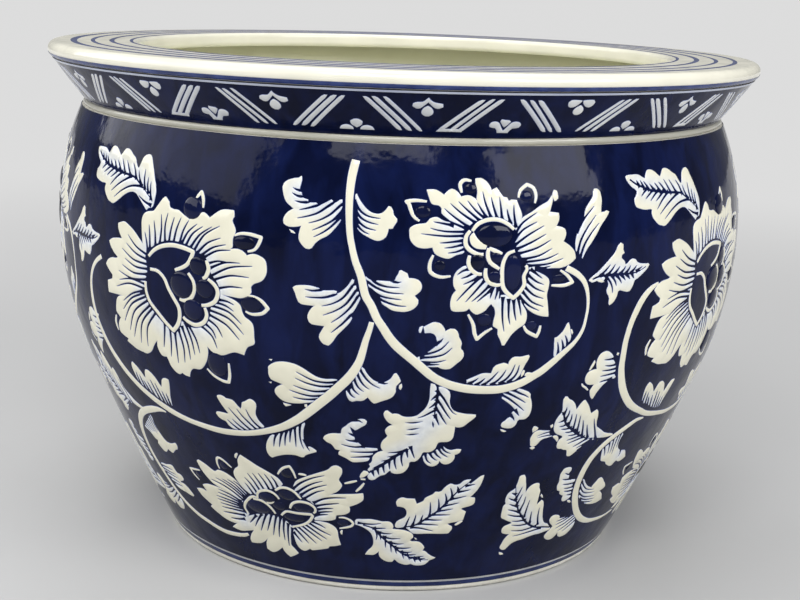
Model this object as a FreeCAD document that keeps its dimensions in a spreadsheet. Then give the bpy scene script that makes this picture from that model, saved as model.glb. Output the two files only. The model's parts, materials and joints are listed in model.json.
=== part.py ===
import FreeCAD, Part
import math
import os
import re

import Sketcher

# A round porcelain planter: a foot ring, a base disc and two wall sections luted at the belly, with a
# flaring neck and a broad flat rim on top, and the glaze coats and painted lines as layers of their own.
# Millimetres. The origin is the middle of the foot's underside, and Z is the axis that everything is
# turned around. Every outline is drawn in the XZ plane and turned once round Z.

SIZES = {
    # Foot ring
    "foot_top_radius": 135.4,
    "foot_top_height": 8.0,
    "foot_width": 19.4,
    "foot_sole_inset": 5.5,
    "foot_line_inset": 2.3,
    "foot_round_height": 3.2,
    # Base disc and its drain hole
    "base_top_height": 18.0,
    "base_flare": 4.9,
    "drain_radius": 10.0,
    # Walls
    "wall": 9.0,
    "flank_height": 104.5,
    "flank_radius": 178.8,
    "belly_height": 183.0,
    "belly_radius": 194.5,
    "shoulder_height": 243.0,
    "shoulder_radius": 182.0,
    # Neck and the bead round its foot
    "bead_height": 3.3,
    "bead_swell": 1.2,
    "bead_seat": 3.0,
    "neck_foot_radius": 180.1,
    "neck_height": 22.7,
    "neck_flare": 17.1,
    # Rim
    "rim_thickness": 8.5,
    "rim_overhang": 2.8,
    "rim_width": 49.5,
    "rim_inner_round": 2.5,
    "rim_under_round": 3.0,
    # Glaze coats
    "coat": 0.5,
    "drain_clearance": 0.5,
    # Painted lines
    "paint": 0.2,
    "rim_line_inset": 13.9,
    "rim_line_width": 3.8,
    "rim_line_pitch": 10.4,
    "foot_line_split_height": 5.7,
    "lip_line_start": 0.5,
    "lip_line_width": 2.1,
    "neck_line_drop": 0.3,
    "neck_line_width": 1.0,
}
RIM_LINES = 4

# Heights and radii that follow from the sizes above
FOOT_INNER = "(foot_top_radius - foot_width)"
FOOT_SOLE = "(foot_top_radius - foot_sole_inset)"
FOOT_LINE = "(foot_top_radius - foot_line_inset)"
BASE_TOP = "(foot_top_radius + base_flare)"
BEAD_TOP = "(shoulder_height + bead_height)"
BEAD_MIDDLE = "(shoulder_height + bead_height / 2)"
NECK_TOP = f"({BEAD_TOP} + neck_height)"
NECK_RADIUS = "(neck_foot_radius + neck_flare)"
RIM_TOP = f"({NECK_TOP} + rim_thickness)"
RIM_MIDDLE = f"({NECK_TOP} + rim_thickness / 2)"
RIM_RADIUS = f"({NECK_RADIUS} + rim_overhang)"
RIM_OPENING = f"({RIM_RADIUS} - rim_width)"
NOSE_RADIUS = f"({RIM_RADIUS} - rim_thickness / 2)"
NECK_SLOPE = "(neck_flare / neck_height)"

# The wall's outer curve from the base up, as corners and the edge that leaves each one. An arc that is
# level with the belly stands upright there, and the flank's arc runs on smoothly from it.
LINE = "line"
SMOOTH = "smooth"
WALL_CURVE = [
    (BASE_TOP, "base_top_height", SMOOTH),
    ("flank_radius", "flank_height", "belly_height"),
    ("belly_radius", "belly_height", "belly_height"),
    ("shoulder_radius", "shoulder_height", LINE),
]


def in_sheet(text):
    """The expression with each cell's alias led by the sheet's name."""
    return re.sub(r"\b(?!sqrt\b)([a-z][a-z_]+)", r"sizes.\1", text)


def value(text):
    """The number that an expression of cells gives now."""
    return float(sheet.evalExpression(in_sheet(text)))


def origin_part(body, role):
    """The plane or axis of a body's own origin with that role."""
    return next(item for item in body.Origin.OriginFeatures if item.Role == role)


def middle_of_level_arc(start, end, level):
    """Centre of the arc through two points whose centre lies at a height."""
    reach = (start[1] - level) ** 2 - (end[1] - level) ** 2
    across = (start[0] ** 2 - end[0] ** 2 + reach) / (2 * (start[0] - end[0]))
    return across, level


def middle_of_smooth_arc(shared, other, next_middle):
    """Centre of the arc from shared to other that runs on from the arc about next_middle."""
    length = math.dist(shared, next_middle)
    toward = [(next_middle[i] - shared[i]) / length for i in (0, 1)]
    step = [other[i] - shared[i] for i in (0, 1)]
    radius = (step[0] ** 2 + step[1] ** 2) / (2 * (step[0] * toward[0] + step[1] * toward[1]))
    return shared[0] + radius * toward[0], shared[1] + radius * toward[1]


def draw_outline(sketch, outline):
    """A closed outline of corners, each (radius, height, edge that leaves it), bound to the sheet."""
    count = len(outline)
    points = [(value(radius), value(height)) for radius, height, edge in outline]
    edges = [edge for radius, height, edge in outline]
    middles = {}
    for i, edge in enumerate(edges):
        if edge not in (LINE, SMOOTH):
            middles[i] = middle_of_level_arc(points[i], points[(i + 1) % count], value(edge))
    for i, edge in enumerate(edges):
        if edge == SMOOTH and (i + 1) % count in middles:
            shared, other = points[(i + 1) % count], points[i]
            middles[i] = middle_of_smooth_arc(shared, other, middles[(i + 1) % count])
        elif edge == SMOOTH:
            shared, other = points[i], points[(i + 1) % count]
            middles[i] = middle_of_smooth_arc(shared, other, middles[i - 1])

    shapes = []
    ends = []
    for i in range(count):
        start, end = points[i], points[(i + 1) % count]
        turn = 1
        if i in middles:
            middle = middles[i]
            angles = [math.atan2(p[1] - middle[1], p[0] - middle[0]) for p in (start, end)]
            turn = 1 if math.sin(angles[1] - angles[0]) > 0 else -1
            circle = Part.Circle(FreeCAD.Vector(*middle, 0), FreeCAD.Vector(0, 0, 1), math.dist(middle, start))
            shape = Part.ArcOfCircle(circle, *angles[::turn])
        else:
            shape = Part.LineSegment(FreeCAD.Vector(*start, 0), FreeCAD.Vector(*end, 0))
        ends.append((1, 2)[::turn])
        shapes.append(sketch.addGeometry(shape, False))

    for i in range(count):
        after = (i + 1) % count
        joint = (shapes[i], ends[i][1], shapes[after], ends[after][0])
        smooth = SMOOTH in (edges[i], edges[after]) and i in middles and after in middles
        sketch.addConstraint(Sketcher.Constraint("Tangent" if smooth else "Coincident", *joint))
        corner = (shapes[after], ends[after][0])
        bind(sketch, "DistanceX", corner, outline[after][0])
        bind(sketch, "DistanceY", corner, outline[after][1])
        if edges[i] not in (LINE, SMOOTH):
            bind(sketch, "DistanceY", (shapes[i], 3), edges[i])


def bind(sketch, kind, point, text):
    """Ties a point's distance from the origin to an expression of cells."""
    if text == "0":
        sketch.addConstraint(Sketcher.Constraint("PointOnObject", *point, -1))
        return
    index = sketch.addConstraint(Sketcher.Constraint(kind, -1, 1, *point, value(text)))
    sketch.setExpression(f"Constraints[{index}]", in_sheet(text))


def turned(label, *outlines):
    """A body turned from one closed outline, or from several for a group of rings."""
    body = document.addObject("PartDesign::Body", label)
    body.Label = label
    body.AllowCompound = len(outlines) > 1
    sketch = body.newObject("Sketcher::SketchObject", label + "_outline")
    sketch.AttachmentSupport = (origin_part(body, "XZ_Plane"), [""])
    sketch.MapMode = "FlatFace"
    for outline in outlines:
        draw_outline(sketch, outline)
    spin = body.newObject("PartDesign::Revolution", label + "_turning")
    spin.Profile = sketch
    spin.ReferenceAxis = (sketch, ["V_Axis"])
    spin.Angle = 360
    body.Placement = FreeCAD.Placement()
    parts.append(body)
    return body


def moved(curve, shift):
    """A curve with every corner moved out by a shift, or in by a negative one."""
    return [(f"({radius} {shift})", height, edge) for radius, height, edge in curve]


def turned_back(curve):
    """A curve run from its last corner to its first, closed by a line."""
    edges = [edge for radius, height, edge in curve[:-1]]
    corners = [(radius, height) for radius, height, edge in curve]
    return [(*corner, edge) for corner, edge in zip(corners[::-1], edges[::-1] + [LINE])]


def layer(curve, outer_shift, inner_shift):
    """The closed outline between two copies of a curve that are moved sideways."""
    outside = moved(curve[:-1], outer_shift) + [(f"({curve[-1][0]} {outer_shift})", curve[-1][1], LINE)]
    return outside + turned_back(moved(curve, inner_shift))


def make_foot_ring():
    turned("foot_ring", [
        (FOOT_INNER, "0", LINE),
        (FOOT_SOLE, "0", "foot_round_height"),
        (FOOT_LINE, "foot_round_height", LINE),
        ("foot_top_radius", "foot_top_height", LINE),
        (FOOT_INNER, "foot_top_height", LINE),
    ])


def make_base_disc():
    turned("base_disc", [
        ("drain_radius", "foot_top_height", LINE),
        ("foot_top_radius", "foot_top_height", LINE),
        (BASE_TOP, "base_top_height", LINE),
        ("drain_radius", "base_top_height", LINE),
    ])


def make_walls():
    # The two sections meet at the belly, where a large pot is luted.
    turned("lower_wall", layer(WALL_CURVE[:3], "+ 0", "- wall"))
    turned("upper_wall", layer(WALL_CURVE[2:], "+ 0", "- wall"))


def make_neck():
    # The bead is a ring of its own, let into the foot of the neck.
    turned("neck_collar", [
        ("(neck_foot_radius - bead_seat)", "shoulder_height", LINE),
        ("(neck_foot_radius - bead_seat)", BEAD_TOP, LINE),
        ("neck_foot_radius", BEAD_TOP, LINE),
        (NECK_RADIUS, NECK_TOP, LINE),
        (f"({NECK_RADIUS} - wall)", NECK_TOP, LINE),
        ("(neck_foot_radius - wall)", BEAD_TOP, LINE),
        ("(shoulder_radius - wall)", "shoulder_height", LINE),
    ])
    turned("neck_bead", [
        ("neck_foot_radius", "shoulder_height", BEAD_MIDDLE),
        ("(neck_foot_radius + bead_swell)", BEAD_MIDDLE, BEAD_MIDDLE),
        ("neck_foot_radius", BEAD_TOP, LINE),
        ("(neck_foot_radius - bead_seat)", BEAD_TOP, LINE),
        ("(neck_foot_radius - bead_seat)", "shoulder_height", LINE),
    ])


def make_rim():
    # The outer edge is a full round nose, and the inner edge overhangs the mouth.
    turned("rim_flange", [
        (NOSE_RADIUS, NECK_TOP, RIM_MIDDLE),
        (RIM_RADIUS, RIM_MIDDLE, RIM_MIDDLE),
        (NOSE_RADIUS, RIM_TOP, LINE),
        (f"({RIM_OPENING} + rim_inner_round)", RIM_TOP, f"({RIM_TOP} - rim_inner_round)"),
        (RIM_OPENING, f"({RIM_TOP} - rim_inner_round)", LINE),
        (RIM_OPENING, f"({NECK_TOP} + rim_under_round)", f"({NECK_TOP} + rim_under_round)"),
        (f"({RIM_OPENING} + rim_under_round)", NECK_TOP, LINE),
    ])


def make_glaze_coats():
    outside = [("foot_top_radius", "foot_top_height", LINE)] + WALL_CURVE
    turned("body_glaze", layer(outside, "+ coat", "+ 0"))

    neck = [("neck_foot_radius", BEAD_TOP, LINE), (NECK_RADIUS, NECK_TOP, LINE)]
    turned("neck_glaze", layer(neck, "+ coat", "+ 0"))

    # The inner coat covers the floor round the drain hole and the wall up to the rim's underside.
    inside = WALL_CURVE + neck
    wall_side = moved(inside, "- wall")
    room_side = turned_back(moved(inside, "- wall - coat"))
    room_side[-1] = (room_side[-1][0], "(base_top_height + coat)", LINE)
    turned("inner_glaze", wall_side + room_side + [
        ("(drain_radius + drain_clearance)", "(base_top_height + coat)", LINE),
        ("(drain_radius + drain_clearance)", "base_top_height", LINE),
    ])


def make_painted_lines():
    turned("rim_lines", *[rim_line(i) for i in range(RIM_LINES)])

    low = f"({NECK_TOP} + lip_line_start)"
    high = f"({NECK_TOP} + lip_line_start + lip_line_width)"
    nose = [(on_nose(low), low, RIM_MIDDLE), (on_nose(high), high, LINE)]
    turned("lip_line", layer(nose, "+ paint", "+ 0"))

    high = f"({NECK_TOP} - neck_line_drop)"
    low = f"({NECK_TOP} - neck_line_drop - neck_line_width)"
    neck = [(on_neck(low), low, LINE), (on_neck(high), high, LINE)]
    turned("neck_line", layer(neck, "+ paint", "+ 0"))

    blue = [
        (FOOT_LINE, "foot_round_height", LINE),
        (on_foot("foot_line_split_height"), "foot_line_split_height", LINE),
    ]
    turned("foot_blue_line", layer(blue, "+ paint", "+ 0"))
    white = [
        (on_foot("foot_line_split_height"), "foot_line_split_height", LINE),
        ("foot_top_radius", "foot_top_height", LINE),
    ]
    turned("foot_white_line", layer(white, "+ paint", "+ 0"))


def rim_line(i):
    """One painted ring on the rim's flat top, counted from the outermost."""
    outer = f"({RIM_RADIUS} - rim_line_inset + rim_line_width / 2 - {i} * rim_line_pitch)"
    inner = f"({outer} - rim_line_width)"
    top = f"({RIM_TOP} + paint)"
    return [(inner, RIM_TOP, LINE), (outer, RIM_TOP, LINE), (outer, top, LINE), (inner, top, LINE)]


def on_nose(height):
    """Radius of the rim's round nose at a height."""
    return f"({NOSE_RADIUS} + sqrt((rim_thickness / 2)^2 - ({RIM_MIDDLE} - {height})^2))"


def on_neck(height):
    """Radius of the neck's glazed outer face at a height."""
    return f"(neck_foot_radius + coat + ({height} - {BEAD_TOP}) * {NECK_SLOPE})"


def on_foot(height):
    """Radius of the foot's sloping outer face at a height."""
    slope = "foot_line_inset / (foot_top_height - foot_round_height)"
    return f"({FOOT_LINE} + ({height} - foot_round_height) * {slope})"


def check_parts():
    """Stops on any object that failed, and on any solid that is empty or not valid."""
    for item in document.Objects:
        if "Invalid" in item.State or "Error" in item.State:
            raise RuntimeError(f"{item.Label} has state {item.State}")
    for body in parts:
        if body.Shape.isNull() or not body.Shape.isValid() or body.Shape.Volume <= 0:
            raise RuntimeError(f"{body.Label} has no valid solid")
        box = body.Shape.BoundBox
        print(f"{body.Label}: {body.Shape.Volume / 1000:.1f} cm3, solids {len(body.Shape.Solids)},"
              f" z {box.ZMin:.2f} to {box.ZMax:.2f}, x to {box.XMax:.2f}")


document = FreeCAD.newDocument("planter")
sheet = document.addObject("Spreadsheet::Sheet", "sizes")
for row, (alias, size) in enumerate(SIZES.items(), start=1):
    sheet.set(f"A{row}", alias)
    sheet.set(f"B{row}", str(size))
    sheet.setAlias(f"B{row}", alias)
document.recompute()

parts = []
make_foot_ring()
make_base_disc()
make_walls()
make_neck()
make_rim()
make_glaze_coats()
make_painted_lines()
document.recompute()
check_parts()

os.makedirs("parts", exist_ok=True)
for body in parts:
    body.Shape.exportStep(f"parts/{body.Label}.step")
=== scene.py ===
import bisect
import json
import math
import random

import bmesh
import bpy
import numpy as np
from mathutils import Matrix, Vector, geometry

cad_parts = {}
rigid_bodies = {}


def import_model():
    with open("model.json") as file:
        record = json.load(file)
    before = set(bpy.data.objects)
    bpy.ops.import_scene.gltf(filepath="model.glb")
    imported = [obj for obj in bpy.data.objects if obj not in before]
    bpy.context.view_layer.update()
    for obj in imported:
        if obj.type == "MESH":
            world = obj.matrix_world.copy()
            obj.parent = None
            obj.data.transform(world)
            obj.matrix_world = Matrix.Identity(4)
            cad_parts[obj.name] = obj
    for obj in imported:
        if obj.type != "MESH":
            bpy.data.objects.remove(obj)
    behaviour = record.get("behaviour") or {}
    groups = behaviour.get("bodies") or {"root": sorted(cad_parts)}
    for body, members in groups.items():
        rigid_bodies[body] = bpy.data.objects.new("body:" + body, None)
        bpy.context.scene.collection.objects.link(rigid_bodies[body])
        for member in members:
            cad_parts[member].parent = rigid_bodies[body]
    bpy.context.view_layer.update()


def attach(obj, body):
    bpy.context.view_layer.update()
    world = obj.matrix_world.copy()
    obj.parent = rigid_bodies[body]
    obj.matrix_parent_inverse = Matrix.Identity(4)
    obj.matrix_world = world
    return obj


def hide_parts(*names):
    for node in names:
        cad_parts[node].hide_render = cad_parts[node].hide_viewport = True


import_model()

# A blue and white porcelain planter. The frame's nodes give every height and radius; the scene adds
# the fired glazes, the raised white scrollwork of flowers, leaves and stems, and the trellis of the neck.
MM = 0.001

# Each motif is drawn in millimetres on the unrolled wall, from its own lower left corner. The corner stands
# at its distance round from the front, measured at the belly, and at its distance up the outer curve from
# the foot's top. A slash parts the lines of a drawing, and a cut runs from its open end to its tip.
FLOWER_ONE = {
    "corner": (-155, 123),
    "gap": 1.2,
    "ribbon": 1.9,
    "crescent": 1.5,
    "petals": """29,74.4 28.8,78.4 29.8,81.2 32.4,82.8 36,83.6 38,86 41.2,90.4 42.8,91.4 45.2,89.2
46,86.8 48.8,86 51.2,86 54,84.4 58,82.4 62,85.2 65.6,86.6 68.8,84.4 73.2,88 76.4,89.2 80.8,89.2 81.2,86.4
80.4,84.4 82.4,80 81.2,76 81.2,72 79.6,70.8 83.6,71.4 86.4,70.6 88.4,68.8 91.2,69.8 94,69.4 96.8,67.8
97.8,64.8 97.6,60.8 95.6,57.6 92,55.8 90.4,54 90.6,51.6 88.8,49.4 85.2,48 80.4,48.2 75.6,48.4 81.2,46.8
84.8,44.6 85.8,41.2 87,38.8 90,36.6 91,34 91,28.8 90.8,25.4 87.2,23.2 85.2,18.8 82.8,19.4 80.4,19.6
78,18.8 74,17 70,17 67.2,18.6 65.6,20.4 65.6,16.8 64,12 61.2,8 58.8,6.4 54.8,6 52.4,3.2 51.6,.6 48.8,1
47,2 45.2,.8 42.8,1.6 40.4,4.4 39.6,7.2 38.8,9.4 35.6,9.4 34,12 33.6,14.4 34.4,17.6 31.6,14.8 28.4,10.4
24.4,8 21.2,8.2 16.4,8.8 12.4,10.4 9.6,11.6 11,13.4 7.6,14.4 4.8,16 4.6,18.8 5.6,21.6 8,24.2 6.4,25.6
5,27.2 5.6,30.4 7.2,34.4 10,36.4 14,37.2 .4,36.6 .4,40 .8,43 5,44.6 5.4,46.8 2.8,48.8 .4,51.4 2,53.6
5.2,55.4 9.6,56 11.2,56.8 8,58.8 5.2,61.8 4.1,64 6.8,65.6 10.8,66.4 14.8,66.8 13.2,68.8 11.6,71.6 11.4,74
15.6,75.4 18.8,74.6 23.6,72 26.8,69.4 30,66.6""",
    "heart": """31.6,60.8 33.6,64 36.4,66.4 39.6,68.4 46,70.8 53.2,71 59.6,69.6 63.2,67.6 66.8,66
69.6,62.4 70.4,58.4 74,53.6 75.2,48.8 74,44 70,41.2 68.8,36 66,31.2 59.6,28.8 54.8,30 52.4,31.2 50.8,27.2
47,22.8 41.2,27.2 35.6,32 31.6,36.8 30.2,41.6 30.8,48 32.4,52.8 32.4,56.8""",
    "cuts": """~-.04 33.2,64>31.2,72.8 34.8,66>33.8,76.8 38.4,68>36.8,79.2 41.2,69.2>41.2,82.8 ~.04
44.4,70.2>45.2,84 46.8,70.4>49.2,82.4 49.6,70.6>53.2,82.8 53.2,70.8>57.6,82 ~.1 54.4,70.4>62.4,80.8
56.8,70>65.6,80 59.6,69.6>70.4,80.4 61.6,68.4>74.4,81.2 ~.08 63.6,67.6>75.2,75.6 65.6,66.4>78,72.8
67.2,65.6>80.4,70.4 69.2,62.8>78.8,64.6 70.4,60.8>85.2,64.8 70.4,56.8>91.2,64 71.6,55>89.6,58.4 ~.06
74,51.2>86.4,53 74.8,45.6>82,44 73.2,44>81.6,40.8 ~.12 71.2,42>85.2,34.8 69.2,39.6>86,29.6
68.8,37.2>83.6,26.4 67.6,34.8>74.8,26.4 66.4,32>71.2,25.2 64,30.4>71.2,20 ~.06 56.8,28.8>60.8,15.6
54.8,29.2>57.6,14 52.4,27.2>54.4,10.8 50,25.2>50.4,8.4 ~.03 47.2,23.2>46,7.2 44.4,24.8>42,10
41.2,27.2>38.2,14.4 ~-.1 35.6,32>26.4,12.4 33.6,34>21.6,13.2 32.4,35.6>16.8,15.6 31.2,38>14.4,18.8
30.4,40>11.2,23.2 ~-.08 29.6,41.6>11.6,29.6 29.2,42.8>12.8,34.4 30,44>8.4,41.2 30.4,46.4>11.2,45.2 ~.08
31.2,48.8>11.2,50 31.6,51.6>14.4,53.6 32.4,54.4>16.8,57.2 32.4,56.8>14.8,62 32.8,59.2>18,65.2
32.8,61.6>19.2,69.6""",
    "ribbons": """34,61.2 37.2,64.4 42,67.2 48.8,68.8 55.6,68.4 60.8,67.2 59.6,64 57.6,60.8 54.8,58.8
50.4,56.8 / 34.8,54.8 39.6,54.6 43.6,51.6 46,46.8 48.8,42.4 51.4,38 51.4,33.2 49.6,28.8 46.4,25.2 42,28.8
37.2,33.6 33.2,37.6 31.4,41.6 31,44.8 31.1,48 / 58,56.4 60.6,52.8 61,48.4 58.8,44 54.8,42.2 52.4,42.6 /
68,64 69.2,60 67.6,56 66,55 / 68.8,55 72.4,52.4 73.8,48.8 72,44.4 68,42 64.8,41.4 / 66.4,40.4 67.2,36.8
65.2,32.8 60.4,30.6 55.6,32 53.6,33.6""",
    "crescents": """64.8,88.8 64.4,92.8 63,96.2 60.4,92.8 / 82,77.6 84.8,78.8 89.2,79 94.8,78 94,75.2
92,72 88.8,70.8 / 88.8,49.8 92.4,49.2 95.6,47.6 98.4,44.4 95.6,41.6 90.8,40.6 87.6,41.6 / 63.6,7.6
66.8,4.4 71.6,2.2 74.8,2 76,6.4 76.4,12.8 / 4,24.8 2.4,20.8 3.2,16.4""",
    "berries": """54,50,6.8,6.8 63.2,60.8,4.5,4.5 66.8,50,4.8,4.8 59.6,38.4,5.5,5.5 59.2,88,5.4,5.6
86.8,74.8,5.2,3.2 90.4,45.6,5.2,3.9 70,11.2,5.4,6.6""",
}
FLOWER_TWO = {
    "corner": (3, 153),
    "gap": 1.15,
    "ribbon": 1.7,
    "crescent": 1.5,
    "petals": """26.7,57.7 16.7,60 13.3,61.8 10.3,61 8.7,59 4.7,58.3 2,56.7 1.7,54.3 2.3,51 4.7,48.3
8,47.5 11.7,48 12.7,45.3 15.3,43.7 18.7,43 22,44.7 25.3,46 26.5,51 / 25,56.5 21.3,58.7 18,61.3 15.3,63.7
15.3,65.7 14,67.3 11,68 9.5,71.7 8.7,74.3 12.7,74.3 16.3,72 17.7,73.7 19.7,74.9 22,73.7 23.7,71.3 26.7,72
29.3,71 31,69.3 37,62 31,58 / 31,69.3 30.7,71 31,74.3 30.3,77.7 30.3,79.7 32.7,80 35.3,78.3 36.8,76
37.3,74.3 39.7,75.7 41,73.7 42.7,71.3 44.3,71 45,69.3 46.3,70 48.7,69.8 49.7,67 51,62.3 49,57 42,60 35,61
/ 48.3,57.7 51,61.3 56,64.3 60,67 63.7,69 65.7,71.7 66,69.7 64.3,64 68.7,63.3 68.7,60.3 67.3,57.3 71.3,56
72,53 70.7,50 74,47.7 76.3,45 77,41.7 74.3,39.3 70,37.7 65.3,37.7 61.3,37.7 53.7,38 49,46 47,52 /
57.2,36.5 60.5,35.1 63.3,33.3 64.4,31.4 64.2,28.1 63.7,24.9 64.4,20.7 65.1,16.5 65.4,14.1 61.9,14.6
58.1,16.2 55.3,18.3 53.5,20.7 52.3,23 51,25.8 53,31 54,36 / 38.1,21.6 39.7,19.7 40.4,16.5 39.9,13.2
39.9,10.4 42,9 42.3,6.2 43.7,3.4 44.8,.6 45.8,.6 47.2,3.4 48.8,6.2 51.6,9 54.2,10.9 54.9,13.7 54.6,16.9
53,19.7 51.8,21.6 50.5,24.5 44,25.5 39,25 / 30.5,38 26.7,39.7 25.3,39.3 22.7,37.3 21.2,34.3 21.3,30.3
22.5,28 21,25.8 20.3,22.5 20.6,19.3 21.7,18 25,17.9 27.3,18.3 28.5,19.5 29.7,17.9 31.5,16.5 33.2,16.7
35.7,18.3 37.4,20.7 42,25 42.5,28.5 35,32""",
    "heart": """25.6,53 26.5,57 30,60.2 36,62 41,61.9 46.5,58.8 48.5,54.5 48,50.5 49.5,46 52.6,41
54.8,37.5 54.2,32 52.2,27.5 48.8,23.2 45,25 42,28.5 37,30 34,33.5 29.5,36 26.4,39 26,43 24.8,48""",
    "cuts": """25.2,57.1>20.9,59>14.8,61.9 19.1,58.4>15.4,59.1>11.7,59.7
25.1,55.3>18.1,55.3>13.7,55.9>10.4,56.8 24.2,53.4>18.1,53.2>12.7,53.5>6.6,54.1 23.7,51.1>18.1,50.3>14.5,50
24.4,49.3>20.3,48.2>16.6,47.7 25.3,47.4>21.9,46>18.2,45.4 26.4,57.9>20.9,61.9>16.3,65.9
29.4,59.9>23.6,64>18.9,68.3 31.3,61>26.3,65.4>22.5,69.2 34.1,61.5>30.1,65.1>26.5,69.6
34.9,62.1>32.9,65.1>30.8,68.7 36.7,62.5>34.6,68.1>33.3,73.8 39.5,62.1>38.1,66.8>37.1,71.3
41.8,62>41.4,66.8>40.9,71.3 45.4,60.3>44.6,63.5>44.2,65.8 48,58.6>47.4,63.5>47.4,67.7
48.3,54.9>51.5,59.4>58.3,64 48.3,52.5>52,56.4>58.2,59.6 48.4,49.5>54.2,53.7>61.5,57.7
49.5,47.5>55.8,50.3>62.4,53.8 50.4,45.2>58,47.4>64.8,51 52.1,42.4>59.1,43.8>65.3,47
53.1,41>61.8,41.9>68.4,44.4 55,39.2>63.5,39.7>70.9,42 58.8,37.9>61.8,38>64.8,38.6
56.4,36.6>58.6,34.8>61.2,32.8 54.8,34.3>58.3,31.5>62.1,29.8 54.3,31.5>58,28.3>62.6,26.3
53.5,28.6>57.5,25>62.4,23 52.7,26.2>56.9,21.7>62.6,19.1 51.6,23.7>55.8,19.8>60.7,17.2
50.3,23.7>51.3,19.8>52.3,15.2 48.4,21.8>49,17.3>50.1,12.7 46.1,22.1>46.3,18.1>46.6,14.6>47.5,10.9
43.3,23.1>43.4,18.7>43.9,13.2>45,7.5 42.1,28.2>41.9,25.8>41.6,23.6 40.7,28.1>40.3,25.8>39.7,23.3
38.4,28.4>37.9,25.8>37.5,23.9 37,27.3>34.5,25>31.7,22.4 36.3,29.4>32.9,25.8>29.4,22.5
34.1,31.9>30.7,27.4>26.7,22.3 32.2,33.6>27.4,28.5>22.8,22.8 31.9,34.4>28.8,32.4>25.3,30.8
29.2,36>26.9,34.5>24.2,33.6 27,37.9>24.7,37>22.6,35.2""",
    "ribbons": """28.7,55.7 31.3,59 36,60.9 40.7,60.7 44.7,58.7 47.3,56.3 / 27.7,55.7 26,53 26,49.3
28,46.7 31.3,45 33.7,44.9 / 27.7,44.3 27.3,41 28.7,37.7 31.3,35.8 33.3,35.7 / 36,47.7 35.7,44.3 37,41
41,38 / 36.3,47.7 42,45 / 35,38.3 35,34.7 36.7,31.7 40,30.3 42,30.7 / 47.7,46.3 44.7,45 42.7,41 42.3,35.7
43,29.7 45.3,26.3 48,24 50.7,26.7 52.7,30.3 52.3,34.3 53.7,37.7 53,39.3""",
    "crescents": """5.7,60 3,62.3 1,67.7 0,68.7 4,69.3 8.7,68.9 / 24,73.3 23.3,77 25.3,79.1 28.3,78.7 /
49.7,71 50.7,74.3 54,77 57,75.3 58,71.7 57.3,68.3 / 12,44.3 10.7,40.3 11.3,36.3 15.3,34.3 19.7,34.7 /
28.3,16.3 30.7,11.7 31.7,7 33,4 36,7 39.3,9.3 / 54,10 56,7 60.7,4.3 61.7,7 62,9.7 / 69.7,36.3 73.3,33.7
76,30.3 72,29 65.7,29.3""",
    "plates": """27.7,53 29.3,55 31.3,51.7 35.3,49.3 34.7,47.3 30.7,47.7 28.3,49.7 / 66,71.7 67,74.3
68.3,73.7 68.7,70.3 67,69""",
    "berries": """38.7,53.7,8,5.6 31.3,41.3,3.2,3.8 39.7,43.3,2.8,2.6 39,34.3,2.8,2.8 47.3,36,3.8,8.6
7.3,64.3,3.4,2.9 28,75.3,2.8,2.6 53.3,71.6,3,2.6 15,39.7,2.4,2.4 35.6,13.6,3.2,3.2 57.6,10,2.6,2.4
69,32.6,3.2,2""",
}
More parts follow.
